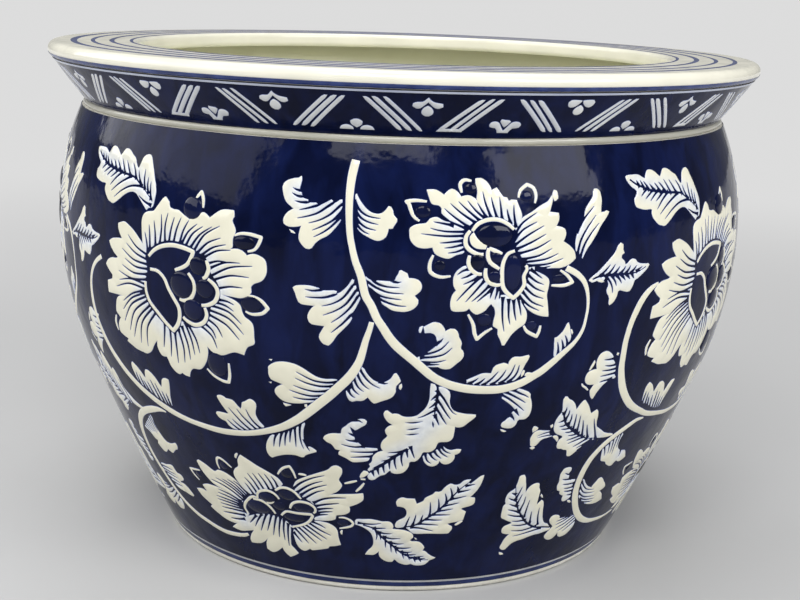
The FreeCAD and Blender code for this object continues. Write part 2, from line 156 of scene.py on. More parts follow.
FLOWER_THREE = {
    "corner": (-131, 10),
    "gap": 1.35,
    "ribbon": 1.6,
    "crescent": 1.35,
    "petals": """38.7,36.3 25.2,40.3 18,41.1 12.6,40.8 8.1,39 9.9,34.5 5.9,35.7 .5,34.5 2.7,30.4 6.8,27.3
9.9,25.5 7.7,23.7 11.7,21 18,17.8 24.3,16.7 29.7,17.8 35.1,21 39.6,25.5 42,31 / 21.6,41.7 16.2,45.3
12.6,50.7 11.3,56.1 13.1,57.4 18,55.6 23.4,52.5 27,54.1 31.5,53.6 36,51.4 39.6,48 44.1,40.8 40,37 /
46.8,41.7 41.4,46.2 38.3,53.4 40.1,57.9 43.2,60.6 44.1,65.1 46.8,68.9 51.3,66.4 55.8,63.7 62.1,60.6
67.5,57.4 69.8,53.8 66.6,50.7 57,46 49,40 / 75.6,51.6 78.3,57 83.7,60.6 90.9,64.2 97.2,67.3 99.9,70
102.6,70.9 105.1,69.1 104.9,65.5 103.1,61.5 104.6,57.9 102.6,54.3 99,51.6 85.5,44.8 80,46 / 85.5,44.8
90.9,48 98.1,50.7 105.3,51.8 111.6,52.5 116.1,53.4 116.1,48.9 112.5,45.7 108,43.5 108,39.9 104.9,37.6
99.9,36.3 99,33.6 94.5,32 86.4,31.3 85,36 / 85.5,30.4 92.7,30.4 97.2,28.6 99.5,25.5 99.9,20.1 101,15.1
97.2,13.8 93.2,12.9 92.3,11.5 86.4,9.7 81,8.4 79.7,9.3 75.6,7 72.5,8.4 70.7,12 70.2,17.4 69.5,23.5 77,27.5
/ 41.4,25.9 34.2,21 27,16.5 22.1,12.9 28.8,12 36,13.8 40.5,15.1 36.9,11.1 34.7,7 35.1,4.8 41.4,5.7
45.9,7.9 50,11.5 47.7,7.5 46.8,3 50.4,1.2 54.9,3 59.4,6.6 60.8,3 63.9,.3 67.5,2.1 70.7,4.3 68.4,7.5
66.6,10.2 68,15.6 70.2,21.9 68,27.5 55,30""",
    "heart": """38,30.5 38.5,35 42.2,39.2 47,42.5 50.5,43 53.6,46.5 59,48.2 64.5,50 69,52 75,51.2
79.5,47.5 84.5,44.6 89.2,39.5 88.2,35.2 83.5,29.8 77.4,26 70.6,23.6 65.5,28.2 57,29.8 49,28.6 41.5,26.6""",
    "cuts": """36.4,35.4>30,38>21.4,39.6 36.6,33.8>28,36>20,37 36.8,32.3>27,33.6>17.5,34.2
37,30.8>27,31.6>17.5,32 37,29.4>28,29.4>19,29.4 37.2,27.6>28,27.2>19,26.6 35.5,24.8>27,24>18.5,23
34.4,21.6>30,20.6>23.5,19.9 38.8,36.8>33,41>26,44>18.4,45.6 40.4,38.2>35,42.6>29,45.8>22.6,47.8
41.6,39.2>37,43.6>32,46.6>27.4,48.2 43,40.4>39.5,44>36,47>31.8,48.9 44.4,41.6>41.4,45>39,47.4>36,49
48.4,42.8>46,47.4>44.4,49.6 51,44.6>48.6,49.4>45.4,53.6 53.6,46.4>51.4,51.6>48.1,57
56.8,47.4>54.6,52.4>51.6,57.8 60.2,48.6>58.4,53.4>55.4,58.6 63.4,49.6>62,54>59.4,58.8
66.2,51.4>65.2,55>63.4,58 76.1,51.8>81,56.4>88,60.6>95.4,63.4 78.6,50>84,54.4>89,57.4>94,59.4
80.8,48.6>86,52.6>91,55.2>96.2,57.2 82,46>86,49>90,51.6>94.4,53.2 88,44.2>93,47>99,48.6>106.6,49.3
89,41.8>94,43.4>102.2,45 89.6,39.4>94,40.5>98.6,41 89.2,37>93,38>98,38.7 88,35>91.4,35.8>95,36.4
85.1,29.6>89.6,27.8>92.4,26 82.6,28.2>88.4,24.4>95.2,21.2 80,26.6>86,22.2>92.2,18
77.4,25.4>83,20.8>88.8,16.3 74.8,24>80,18.8>84.8,13.8 72.6,22.2>76.6,17.2>79.6,13
71.2,18.8>73.4,15.4>75.2,13 45,26.2>42,23>39,20.2 49.6,28>45.6,23>42.6,18.4 53.4,29>49.6,22.4>46.2,16
57.2,29.4>54.2,23>51.2,17 60.4,29>57.6,22>55,14.6 63,28>60.4,20>59.2,14 65.2,26.6>63.6,20>62.8,12.4
67.6,24.4>66,17>65,8.6 69.8,21.6>68.2,16>67,10""",
    "ribbons": """40.1,27.3 38.7,30.6 40,34.2 42.4,36.8 45.4,39.6 48.4,40.9 51,40.4 / 47.2,39.1 52,39.1
55,38 58,35.6 60,32.6 60.6,31.4 / 50.8,40.6 51.2,43.2 53.2,45.6 58,47.2 62,46.4 64.4,44.4 65.4,42.6 /
64.2,48.4 67.6,50.8 71.4,51.4 74.6,50.4 77,48.6 78.4,46.6 79.6,45.2 / 71.4,37.2 72.8,40 75,41.9 78.4,43
82.4,42.9 85.6,41.6 87.4,39.4 87.1,37 86,36.2 / 64.6,31 66,32.6 68.4,34.4 71.4,34.6 75,34.4 79.4,34.6
84.4,34.9 85.1,34 83.8,31.4 81.2,28.6 77.6,26.4 73.6,24.8 70.6,24 / 56.4,38.2 59.6,39 61.4,40.4""",
    "crescents": """10.6,49.6 6.4,49.2 2,48.6 3.4,45.4 5.4,43.2 6.6,42 / 28.5,55.4 28,59 29.2,62.6
31.2,63.2 34,61.8 38,58.4 / 68.1,60.2 70,63 72.6,65.4 76,66.8 77.6,63.6 78.6,59.2 / 106.2,59.3 110,60.6
113,61.7 / 116.9,60.4 115,57.4 112.3,54.3 / 101.4,35 104.6,35.2 108,33.8 109.8,31.6 108.6,29.6 105,28.2
101.2,27.2 / 80.6,62.4 82.8,62.5 85,62.2 / 43,66 43.6,67.8 45,69.4 / 102.6,26 102,24.6 102.2,23""",
    "berries": """49.5,34,8.2,4.6 57.6,42,5.4,3.2 71,46.2,5.2,3.4 79.7,38.8,6,3 64.4,37.6,4.2,3
73,30.8,7,2.8 8.4,46.4,2.4,2 32.4,58.4,2.6,2.4 73.6,61.4,3.4,2.8 103.4,31.4,3.4,2.2""",
}
# A leaf is its corner, its outline, the cuts between its ribs and, where it has one, its dark midrib.
LEAVES = {
    "leaf_01": ((-52, 197), """8.1,34 8.4,32 8,29.5 7.9,27.8 8.8,26.2 9.2,25.2 8.8,24.4 10.4,23.6 12,23.2
12.2,22.5 11.6,22 14,21.9 15.8,22 16.6,21.5 16.2,20.8 17.5,20.9 20,22.3 22.4,23.9 23.1,23.4 22.4,22.4
24.5,22.6 26.2,24 27.1,24.2 27.2,23.2 26.8,22 27.3,21.2 27,20 26.2,18.6 26,16.9 26.8,16.2 27,14.8 26,13
24.7,11 21.9,7.7 18.6,5.6 16.3,3.5 14.9,1.2 13.2,.7 11.6,1.4 9.5,4 9,6.3 9.5,9.6 10,11.2 7.4,10.5 4.1,10.4
2,11.5 1.6,12.9 2,14.7 3.4,16.8 6,18.7 4.1,20.1 2.3,21.7 .9,24.5 0,28.3 .4,29.9 2,31.5 5.1,32.7 7,33""",
"""8.1,27.2>6.3,27.6>4.6,28.4 8.8,24.5>6.8,24.8>4.5,26 11.4,22>9,21.9>6,22.4 16.2,20.8>12.6,19.5>8.4,18.3
23,22.2>20.6,20.4>17,17.6>13,15.9>7.7,14.4 27.1,22>25.4,20.3>22.4,17.2>18,14.4>13,12.5
27.3,18.8>23.7,14.6>19.5,11.8>14.7,9.3 26.8,16>23.3,11.9>19.7,8.8>15.5,6.3""", ""),
    "leaf_02": ((-20, 203), """1.3,21.3 2.2,19.5 3.4,17.6 5.5,15 8,13 10.5,12.4 12.7,12.9 14.4,14.6
15.4,16.2 16.4,15.9 17.3,14 17.6,12.3 19.1,10.5 19.1,9.4 18,7.5 17.4,6.2 15.7,6 15.3,4 14.5,2 12.8,.7
11,.3 9,.9 7,1.9 5,3 3.2,4.6 2,6.6 1.4,9 1.2,12 1.2,15.6 1,18.5 .9,20.8""",
"""1.1,16.8>3.5,13.4>7,11.2>12.2,10.4 1.3,13.6>3.6,10.5>7,8.6>11.4,7.6 1.4,11>3.4,8>6.4,5.9>10.5,4.9
1.6,8.2>3.4,5.6>5.4,4>7.7,3""", ""),
    "leaf_03": ((-45, 151), """0,27.8 1.5,28.9 5,29.4 8,29.3 10.5,28.8 12.2,28.3 12.4,27.6 15,27.6 18,27.9
19.4,27.7 19.1,26.8 18.2,25.9 20,26.6 21.5,27.6 23.8,30 25.2,32.2 26,33.8 26.7,33.4 26.6,32 26.1,30.7
26.8,30.6 27.5,30.9 27.7,30 27.5,28.3 28.1,27.9 28.7,27.9 28.8,27 28.5,25.8 29.3,25.8 29.5,24.8 28.8,23
27.5,20 26,17.4 25.6,16.2 26.1,15.2 25,12.8 22.5,9.6 19.7,6.3 17.5,2.6 15.8,.7 13.6,1.3 11.9,3.7 11.9,5.9
13.6,9.3 14.1,10.4 8.4,10.9 6.9,12.8 6.7,15 8,18 9.9,20 3.7,20.4 2.1,22.3 1.1,25.4""",
"""12.2,27.7>8.5,27.1>5.3,27.6 18.2,25.8>14,24.3>9.5,23.9>5.5,23.9 26,30.5>22.4,25>18,21.8>12.8,20
27.5,28.2>23.5,21.9>19,18.3>13.4,15.6 28.5,25.7>25.4,20.3>21.5,15.9>17,12.2
25.5,16.4>22.5,12.6>19.5,9.6>17,7.2""", ""),
    "leaf_04": ((-14, 170), """.7,16.4 2,15.3 4,14.4 6,14.7 9,14.6 12,14.7 13.4,15.5 13.6,16.5 14.6,18.3
15,19.7 15.6,20 17,19.3 18.3,18.5 18.7,17.2 19,16.4 21,16.3 23,15.6 24.3,14 24.6,12.2 24,10.4 22.6,9
21.7,8.2 22.4,7.2 23.3,6.2 23.3,4.6 22.3,2.8 20.3,1.2 17.5,.4 15,.5 12.4,1 10,2.5 8.2,3.8 7.8,4.6 7,5.6
5.8,7.2 5.6,8.2 4.2,9.8 2.8,11.2 2,12.3 1.8,13.2 1,14.6 .4,15.8""",
"""12.8,14.5>14.4,14.2>16,14.6 4.2,14.4>6.4,13>10,12>15.4,11.8
1.8,13.9>4.2,12.1>6.8,10.7>10.8,9.3>17.2,8.9 3,10.5>5.6,8.4>9.4,6.9>16.4,6
5.8,6.9>8.4,5.3>11.6,4>15,3.1>18.4,3""", ""),
    "leaf_05": ((9, 141), """1.4,19.4 1.2,20.5 1.6,21.9 2.6,22.6 3.4,22.1 4.6,23 6.4,24 8,24.5 10,24
11.4,22.8 12.3,21.3 12.8,20 13.6,20.6 15,21.3 16.6,21.2 18,20 18.6,18.6 18.8,17.3 19.6,15.8 20.3,14
20,12.2 20.2,11 21,10.3 21.5,9 21.6,7.5 21.2,6.4 20.3,5 19,3.8 17.5,2.2 16,.9 14,.6 12,1 10.6,1.8 8.5,1.8
6,2 4.5,2.5 4.2,3.2 2.5,3.8 1,4.6 .6,5.8 1.6,6.9 3,7 3.2,8 4.4,9 5.5,9.3 7,10.4 8.5,11.9 10,13.2 9.7,14.6
9.2,16 9,17.2 8,18.6 6.4,19.3 4.5,19.2 3,19.1""",
"""3,19.2>3,20.4>3,22.2 9.9,14.3>11.1,15.3>12.1,16.7 3.8,8.3>7.5,9.1>11.5,11.2>14.6,15
3.8,6.6>8.5,7>13,8.5>16.3,11.8 2,4.3>6,4.2>10,4.3>14,5.4 4.6,2.9>8,2.9>11.2,3""", ""),
    "leaf_06": ((-59, 118), """1.1,19.5 3.7,21.6 6.5,22.6 9.7,22.9 13.9,22.2 17.7,20.4 21.5,17.8 24.5,16.2
28,15.6 31,15.9 33.2,15.8 33.6,15.1 32.4,14.2 31.4,13.2 31.2,12.4 30.2,11.6 29.7,10.7 28.8,9.4 27.2,8
26.8,7 26,6.2 24.7,5.2 24,4.2 22.4,3.2 20.7,1.9 18,1.2 14.4,.4 9.7,.2 6,1.3 3.4,4.1 3,6.5 4.6,8.8 7.4,10.4
4.6,11.4 1.8,12.5 .8,14.9 .9,17.7""",
"""32,14.2>28,13.7>23,14.1>19,15.7>14.1,18.3 30.2,11.8>25,11.4>19,12.5>13.5,14.7
28.4,9.1>23,8.2>18,8.8>12.4,10.5 26.2,6.2>21,5.4>16,6>10,7.7 23.7,3.9>19,3.2>15,3.2>11.6,3.8""", ""),
    "leaf_07": ((-22, 121), """7.8,20.4 8.7,19.6 9.4,18 11,15.6 13,13.6 15.5,12.6 17.2,12.6 19,13.4
20.8,15 22.2,17.6 23,18 24,16.6 24.7,15 25.2,13.8 24.2,12.4 23.2,11 23,9.4 23.1,8 22.4,6.2 21.5,4.8
19.8,3.6 18,2.8 16,1.9 14.3,1 13.2,.8 12.2,1.6 11.2,3 10.4,4.1 9.6,3.4 8.6,2.4 7,1.8 5,1.8 3.1,1.1 2,1.6
1,3.4 .5,5.6 .6,7.6 1.6,7.4 2.7,8 3,9.4 3.1,11 3.7,12.3 4.3,13.4 4.8,15.2 5.6,16.2 6.2,17.6 6.8,18.8""",
"""1.6,7>2.4,5.2>3.4,4>4.6,3.3 3,10>4,7.6>5.2,6.2>6.6,5.2 4.2,13.6>5.5,10.2>7,8.2>8.6,7.1
5.6,16.6>7.4,12.4>9.4,9.8>11.2,8.6 6.9,19>9.5,14.5>12.5,11.3>16,9.4 16.8,12.6>18,12.1>19.6,12.4""", ""),
    "leaf_08": ((33, 132), """.4,2 .2,3.6 2,4.5 5,6 7.5,7 10,6.9 11.3,6.9 11.7,8.5 12,9.8 13,11 15,11.8
16.5,12.2 18.3,11.6 19,11.3 19.2,13 20,14.3 21.5,15.2 24,15 26.5,15.4 28,15.8 28.6,15.2 28.3,13.6 27.5,12
26.8,10.2 26.3,8.6 25.8,7 25.2,5.2 24.4,4 23.2,2.8 22.2,2.3 21,2.6 19,1.7 17.5,2 16,1.3 14.8,.9 13.4,1.4
12,.9 10.6,.5 9,1.2 8,.8 7,.6 5.8,1.4 4.8,.8 3.8,.9 2.6,2 1.4,1.9""",
"""2.6,2.2>4.3,3.4>5.6,4.6 5.7,1.4>7.3,2.8>8.8,4.4 8.9,1.2>11,3>13,5.4>14.6,7.8
13,1.3>15,3>17,5.8>18.2,8.6 17,1.8>19,3.6>21,6.8>22.2,11.2 21,2.6>22.6,4.4>23.8,7>24.3,10.8""", ""),
    "leaf_09": ((51, 106), """7.3,23 8,23.5 9.5,23.1 11.5,22.2 13.4,21.2 14.5,20 14.7,18.4 15.4,16.6
16.2,14.4 16.7,11.6 16.7,9 16.2,6.8 15.2,5.5 13.6,5 11.6,5.1 10.8,4.4 10.6,3 10,1.3 9,.3 7.2,0 5,.4
3.2,1.2 2.6,2.4 3,3.8 4.4,5 5.4,6.4 6.4,6.9 7.3,6.6 7.2,8 6.8,9.3 7.3,10.2 8.3,10.2 8.8,10.6 7.6,12.2
5.6,14.4 3,16.6 .4,18.6 .2,19.6 .6,21.6 1.6,21.6 3.4,22.3 5,22.2 6.4,22.6""",
"""6,22.6>9,20.9>12,19.4>14,18 2.6,21.6>6,19.6>9.5,17.4>13,15 .4,20.3>3.5,18.4>7,15.6>10.5,12.6>13,10.3
9,10.2>10,8.8>11.1,7.3 7.2,7.4>8.4,6>9.2,4.5""", ""),
    "leaf_10": ((73, 145), """6,18.2 6.8,16.6 7.3,14.5 7.9,12.5 8.3,10.6 8.2,9.2 7.5,8 6.6,6.6 5.9,6
4.8,4.3 4,3.6 2.8,2 1.8,.8 1,1.2 .7,3 .5,5.5 .2,8 0,10.9 1.2,11.2 2.4,12.4 3.8,14 4.9,16.4 5.4,17.8""",
"""2.9,2.6>2.5,5.8>1.7,8.7 5.2,5>4.6,7.4>3.6,9.9 7,7.2>6.3,9.6>5.1,11.9""", ""),
    "leaf_11": ((-35, 84), """18.4,27.6 20,28 21.8,27.9 22.8,26.9 22.6,25.4 21.7,24.2 20.2,23.2 18.8,22
17.4,21 16.1,21 15.9,19.8 15.8,18.6 16.4,17 16.7,15.4 16.5,14.4 17.6,13.6 19.8,11.4 20.1,10.6 21,10.1
24.5,10 27.8,9.9 28.1,9 27.2,8 25.8,7.2 25.6,6.2 24.1,5.2 24,3.6 23.4,2 21.5,1.1 16.4,.2 14.4,.6 12,2.4
10,3.4 8.1,4.5 8.3,6 9,7.4 6.8,7.7 5.8,9.4 4.6,11 2.4,12.1 .9,13.9 1.6,15.6 3.5,17 6,17.8 9,17.9 10.1,18.2
10.4,20 11,21.6 12.6,23 14.2,24.8 15.8,26""",
"""17.6,27>19.4,26.8>21,25.7 15.8,20.9>14.8,22.6 15.6,17.9>14.6,18.2>13.6,19 16.4,13.9>14.2,13.9>12,14.6
20.1,10.5>16.6,10>13,10.4>9.7,11.3 26.6,7.5>21,7>14.3,6.7 24.2,4.4>19.2,3.8>14.2,3.1""", ""),
    "leaf_12": ((-13, 72), """30,61.8 29.9,58 30,54 29.7,51.5 29,49 27.8,46.8 26,44.6 24.4,43.2 22,42.4
19.5,42.3 17.5,42.8 15.8,43.9 14,44.1 13,43.9 11.8,44.8 10.6,45.9 9.6,45.6 9,44.2 9.2,42.4 10,40.6
11.2,38.9 12.7,37.8 13.4,37.2 11.8,36.6 10.4,35.2 9.8,33.6 10.2,31.8 11,30.4 10.4,29.2 9.2,27.8 8.2,26
7.8,23.6 8.2,21.8 9,20.6 6.5,19.6 4.6,17.8 3.6,15.8 3.4,13.6 2.8,12.4 1.8,11.4 2.4,9.8 1.4,8.4 1.1,7.4
2.2,6.6 1.8,5 1,3.8 1,2.6 1.6,1.4 3.2,.9 4.6,1.4 6,2.8 7.4,4 8.2,4.4 9.6,4.8 10.4,5.4 11.8,7 12.8,8
13.4,6.7 15,5.9 17.4,5.9 19.6,6.8 21.2,8.6 22.2,11 22.4,13.4 23.2,14.1 25,14.1 26.6,15.2 28,17.4 28.6,19.6
29.4,20.4 31.6,20.3 33.6,21.2 35,22.8 35.6,25 36.4,26.6 38,26.9 40.2,26.9 42,27.6 43.2,29.5 43.4,33
43.4,36.6 44.2,36.2 46,36.1 47.8,36.8 49.4,38.6 51.4,40.6 52.9,42.4 52.7,43.5 49,43.9 46,44.5 43.2,45.4
41.4,46.6 40,48.8 39.2,52 39.3,54.6 38.8,57 36.9,59 34.6,60 33.6,59.8 32.6,59.4 31.6,61.4""",
"""33,54.9>31.6,53.6>30.4,52.1 33,50.7>31.4,49>29.8,47.6 32.9,46.5>30.6,45>28,43.2>25,41.8
=27.6,39.8>23,38.9>19,38.9 =26.4,35.7>23,34.9>20,34.4 =26.3,32.1>23,31.6>19.6,31.2
33.7,57>36,54>37.8,51>39.6,47.8>41.6,45>43.4,43.8 33.8,52>35.4,49.8>37.2,46.6>39.2,43.4>40.8,41.2
33.7,47>35.2,44.8>37,41.4>39.2,37.8 33.5,42.6>34.4,40.4>35.6,37.4 =32.2,40>32.6,38>32.9,36
22.9,22.6>23.7,20>25,16.2 20.8,20.6>21.2,18.4>21.6,16.4 18.3,18.6>18.3,15>19.2,10.8 14.8,16>15,12.6>16,8.6
12.1,13.4>12.3,10.8>12.5,8.4 9,10.2>9.4,8>9.8,5.9 6.2,8>6.6,6>7,4.4 3.6,6>4,4.6>4.4,3.2
19.8,21.3>16,20>11.2,19.3 16.6,18.6>13.8,17.2>10.8,16.6 13.2,15.8>11,14.4>8,13.8 10,12.8>7.6,11.2>4,9.2
6.4,10>5,9.2>3.4,8.7""",
"""0,4.6 3.5,7.2 7.5,10.2 11.5,13.6 15,16.6 18.5,19.4 22,22.4 / 33,61 33.4,57 33.3,52 33,47 32.8,41.6"""),
    "leaf_12_tip": ((-17, 74), """.7,.6 1.6,3 3,4.8 4.8,4.4 5.6,3.2 4,1.6 2.4,.4 1,0""", "", ""),
    "leaf_13": ((16, 83), """.2,6.4 .7,7.4 2,7.8 2.8,8.6 4.8,8.4 5.6,8.9 6.8,10.8 8.2,11.6 8.6,12.6
9.8,13.2 11,11.9 12.5,10.9 14.4,10.4 17,11 19.4,10.8 19,9 17.8,7.8 16.4,7.4 16.6,5.6 16.2,3.8 15,2.2
13.2,1.3 11.4,1.4 10,2.4 9,3.6 8.6,2 7.6,.8 5.8,0 4,.3 2.4,1.4 1.2,3 .6,4.8""",
"""1.4,7.6>2,5>3,3.2>4.8,1.8 3.9,8>4.8,6.2>6.6,4.4>7.8,3.8 6,9.4>7.2,7.4>9.8,5
7.9,11.4>9.4,8.8>11.4,7>13.2,5.8 9.3,12.4>10.8,10.2>12.8,8.8>14.4,8.2""", ""),
    "leaf_14": ((3, 35), """.9,7.5 .9,5.8 2,5.1 4,5.3 6,5.8 7.5,5.2 8.5,4.2 9.8,3 11.5,1.5 14,.9 21,1
27,.7 31,.6 33.8,.8 34.5,2 35.4,3.9 35.2,5.4 33.5,6.5 32,7.6 33.5,8.3 38,9 41.2,10 41.5,13.2 41.8,15.8
40.8,16.5 38.8,17.7 39,18.5 41,19.2 43.5,19.8 45.5,21 45.9,23 45.4,25.4 42.5,26 45.2,29.7 46.9,33.6
47.7,38 47.8,40.8 46,40 43.5,37.5 41.3,35.3 39.6,36 40.9,38.3 37.5,37.9 35.3,35.6 33.8,35 32,35.1 30,35.9
28,34.5 26.6,32.8 25.5,31 24,30.4 22.2,30.6 21,29 19,27.8 16.8,26.3 16.2,24.5 14.5,23.3 12.4,22.2
11.6,24.3 11,25.8 9,25.9 6.5,26 4.5,26.6 2.8,26.2 1.5,25 .8,23 1.6,20.4 3.5,20.2 5.5,19.5 6.8,17.8
7.2,15.5 6.7,13.5 5.3,12 3.5,11 1.7,9.5""",
"""6.9,6>7.6,8.4>9,13.2 11.4,7.9>12,10.6>12.6,14.8 15.8,9.8>16.1,12>16.7,14.6 20.6,14.4>20.6,18>20,23.6
25.4,18.4>25.2,21.6>24.4,25.8 29.2,23.4>28.9,26>27.7,29.4 32,27.2>31.4,30>30.2,33.2
34.8,31.6>34.5,32.9>33.9,34 11.4,5.4>16,4.9>20.4,3.7>24,2.7 15.8,8>20,7.6>26.6,6.9
19.6,11.1>24,10.6>28.4,10.5 23.4,14.4>27,14.2>32.8,14.1 26.6,17.2>30,17.6>33.8,18.3
29.4,20.8>32.6,21.4>36.9,22.5 32.7,25.3>36.4,26>40.4,27 36.4,30.2>39,30.6>42,31.3
40,34.2>41.8,34.5>44,34.8""",
"""7.5,5.8 12,6.8 15.3,8.9 18,11 21,13.6 24,16 26,18.3 28.6,21.6 31,25 33,28 35.6,31.6 38.4,34.6 40.6,36.6
43.4,39.4"""),
    "leaf_14_tip": ((39, 41), """.7,.6 2,2.3 4.8,3.6 5.1,2.9 3.2,1 1.4,.2""", "", ""),
    "leaf_15": ((-20, 12), """1,32.8 5,33.1 9,33.5 13,32.9 16,32.2 19,32.4 21,31.9 22.3,30.3 22.7,28.5
22.2,27.2 24,26.9 28,26.6 31,25.8 33.5,24.6 34.9,23 35,21 34,19.8 33.3,19.2 34.5,18.2 37,18.2 39.5,17.6
41.5,15.8 42.9,13.5 42.4,12.2 42,11.2 44,10.5 45.5,9 47.5,7.5 49.5,6.3 51.2,5.6 49.5,4.6 47.5,3.8 46,1.8
44.3,.5 41,0 37.5,.3 35.3,1.2 33,.6 30,1 27,2.3 25,4.2 24,4.5 23.3,3 21.5,2.6 19,3 16.5,4.5 14.7,6.5
14.3,9 14.3,10.5 13,9 11,7.5 9,7.3 5.5,7.3 7,10 9.5,12.8 10.7,15 10.9,18 10.4,21 9,24 6,26.6 2.5,28.4
.2,29 0,31""",
"""3,30.2>7,29.9>11,30>15.6,30.8 11.8,26.6>12.6,24>13,21.4>12.4,18.4 14.8,23.4>15.1,21>15.5,18.6
18,20.4>18.3,17>18.3,13 21.4,16.6>21.8,13.6>22.2,9.6 24.6,13.2>25,11>25.6,8.8 29,9.8>29.8,7.4>30.3,5
32.8,7.6>33.8,5.8>34.2,4 37.2,5.3>37.8,3.8>38.3,2.2 40.8,4.6>41.4,3.6>42,2.4 11.8,27>14.6,27.2>18.4,27.5
14.8,24.2>18,23.5>22.4,23.6 18,20.8>22,19.9>27.6,20.2 22.6,16.7>26,16.1>29.8,16.4 26.4,13>30,13>34.6,13.4
29.6,10>32.4,9.9>35.6,10.3 32.4,8>35,8>38.2,8.3 36,5.9>40,6.5>43.4,7 39,4.9>42,5>44.8,5.2""",
"""4.5,29 8,28.1 11,26.9 12.8,25.2 14.4,22.6 17,20 19.4,17.6 22.6,15 25.8,11.8 29.4,9 32,7.6 35,6 38,4.9
42,4.2 46.6,4.1"""),
    "leaf_16": ((67, 18), """5.7,54.6 6.5,55.1 8.2,55.3 9.5,53.5 10.5,50.5 11.7,47 12.8,42.5 14,45.5
15.5,47.2 18,48.2 20.3,47.5 21.3,44.5 22.8,42 23.3,38 23.8,34 24.3,32 25.3,33.5 26.7,35 28,34 29.5,31
30.8,26.5 32.5,22 34.5,18.5 36.5,16.5 39.5,15.2 41,13.8 44,11 43.5,10 40,9.5 36,8.8 32,8.8 27,8 23,7
19,6.5 15.5,5 13.5,2.5 12.5,1.2 11,.9 9,1.8 7.8,3.5 8.3,6 9,9 10.5,11.5 11.8,12.6 9,13.2 6.5,14 5.2,15.5
5,17.5 6,19.3 8.5,20.2 10.5,21 9.5,22 7.5,22.8 4.5,24.5 2,26 1.3,28 1,31 .9,34.5 2,36 1.2,38 1,40.5 1.5,43
3,44.7 4.8,46 5.6,50""",
"""8,40>8.8,43>9.5,47 9.8,35.4>10.5,38.4>11.2,41.6 13.4,30.4>14.2,35>14,39.6 18,25.4>17.8,31>17.8,36.6
23.8,20.2>23,24>22.2,27.6 30.8,17.4>28.6,23>27.2,29.4 5.9,42.4>4.8,42.8>3.8,43.4 7.4,37.8>5,38.6>2.8,39.9
9.8,33.2>7,34.2>4.4,35.4 11.9,29>8.4,30.2>4.6,31.4 15.2,25.2>10.5,26>5.5,27.7
18.8,21.8>14.6,21.7>10.1,22.3 23.6,18.6>17,18.2>10.8,19.4 29,15.4>20.5,14>12,15
34,13>25,11.7>20,11>14.5,10.6""",
"""43,12 37,13.4 31,14.4 27,16 23,18.4 19.6,21.2 17,24 14,27.6 12,30 10.4,33.4 8.6,37 7.2,40.5 6.2,44 5,48
4.6,51"""),
    "leaf_17": ((100, 48), """.3,21.5 .7,23.5 1.3,25 3,25.6 5.5,25.6 7,24.5 7.3,23 6.5,21.6 7.7,18.4
7.9,17 10,16.2 13.9,15.5 13.9,14.3 13,13 13.6,11.8 13.6,10.8 15,9.6 14.8,8.2 15,6.8 15.8,5 16.3,2.6 14.3,1
12,.5 10.3,1.3 9.5,3 9.5,5 7,6.3 5.5,7.5 5.3,9 3,10 1.8,12 1.3,14 1.5,16.5 .8,19""",
"""8.2,20.4>6,20.6>3.6,21.8 9,16.9>6,16.9>3.4,17.6 14.4,13.2>10,13>5.2,13.6 14.8,10.3>11,10>7.6,10.3
15.4,7.6>12,7.6>8.4,8.4 16,4.8>14,4.6>12.2,5""", ""),
    "leaf_18": ((107, 19), """0,17 .4,19 2.2,19.9 4.4,19.6 6.6,18.9 7.9,17.8 8.4,16.6 10,16 12.4,16
16.2,16.3 20,16.4 22.5,15 24.6,13 26,10.8 27.2,8 27,5.5 25.6,3 23.6,1.2 21,.5 18,.4 15.6,1.6 14,3.6
13.3,4.6 12.8,3.6 11.4,1.6 9.4,.7 7,.8 4.4,1.9 2.2,3.6 1.6,5.2 2.6,7 4.4,9.4 5.6,11 4.6,12 2.8,13.4 1.2,15""",
"""17,16.2>12,15>7,14.2 20,16.2>13.5,13.2>7.4,11.6 22.4,14.8>15.6,10.8>9,8.6 24.4,13>18,8.6>12.6,5.8
26,10.6>21.4,7>17.4,4.4""", ""),
    "leaf_19": ((-164, 63), """.5,14 3.5,16.5 7,19.2 10,21.6 12.5,24 14.4,25.2 15.2,23.5 14.7,20 15.4,16.4
17.2,13.5 19,10.8 21,9.4 24,9.2 27,10 29.7,11 30.5,9.5 29.5,7 27,5.8 24,3.5 22.5,2.4 20.5,3 18.5,4 16.5,2
14,.8 11,2.5 9,5 10.4,7.6 8,8 6,10.4 4,12 1.6,12.8""",
"""2.2,15.6>6.4,11.4 4.4,17.2>9,12.4 6.6,19>10.6,13 8.8,20.8>12,13 11.2,22.8>13.4,12.4 13.2,24.4>15,14""",
""),
    "leaf_20": ((-165, 36), """0,15.6 3,16.4 7,16.7 10,17.5 14,18.5 16,18 17,15.5 18,14.2 21,14 22.7,12.8
22.7,11 21,9.7 18,8.5 17.5,7.5 21,7.3 24,5.5 25.7,3.5 27.3,1.5 26,.2 23,.2 19,1 15,1.2 10.4,2.2 7.6,5
4,8.6 1,12""",
"""0,14.2>14,14.6 1.2,12.4>15.4,12 3,10.4>16,9.6 5.4,7.6>16.4,6.4 8.2,4.8>18,4.6""", ""),
    "leaf_21": ((-149, 100), """.5,18 1,21 2.2,22.3 4,21.3 6,19.8 7.7,17.8 9.5,15.3 10.4,14.7 11,17
12,19.5 13.5,20.4 15.5,20 18,18.2 19.5,16.3 20.7,14 22,12 23,14 24,16.5 25.5,18 27.5,18.6 29.4,18.2
29.2,16 28,11.5 26.7,7.5 26,4 25.4,.8 22.4,1.4 18.7,2.6 15,4 11.7,5.8 8,7.8 3.5,9.4 1.7,12.5""",
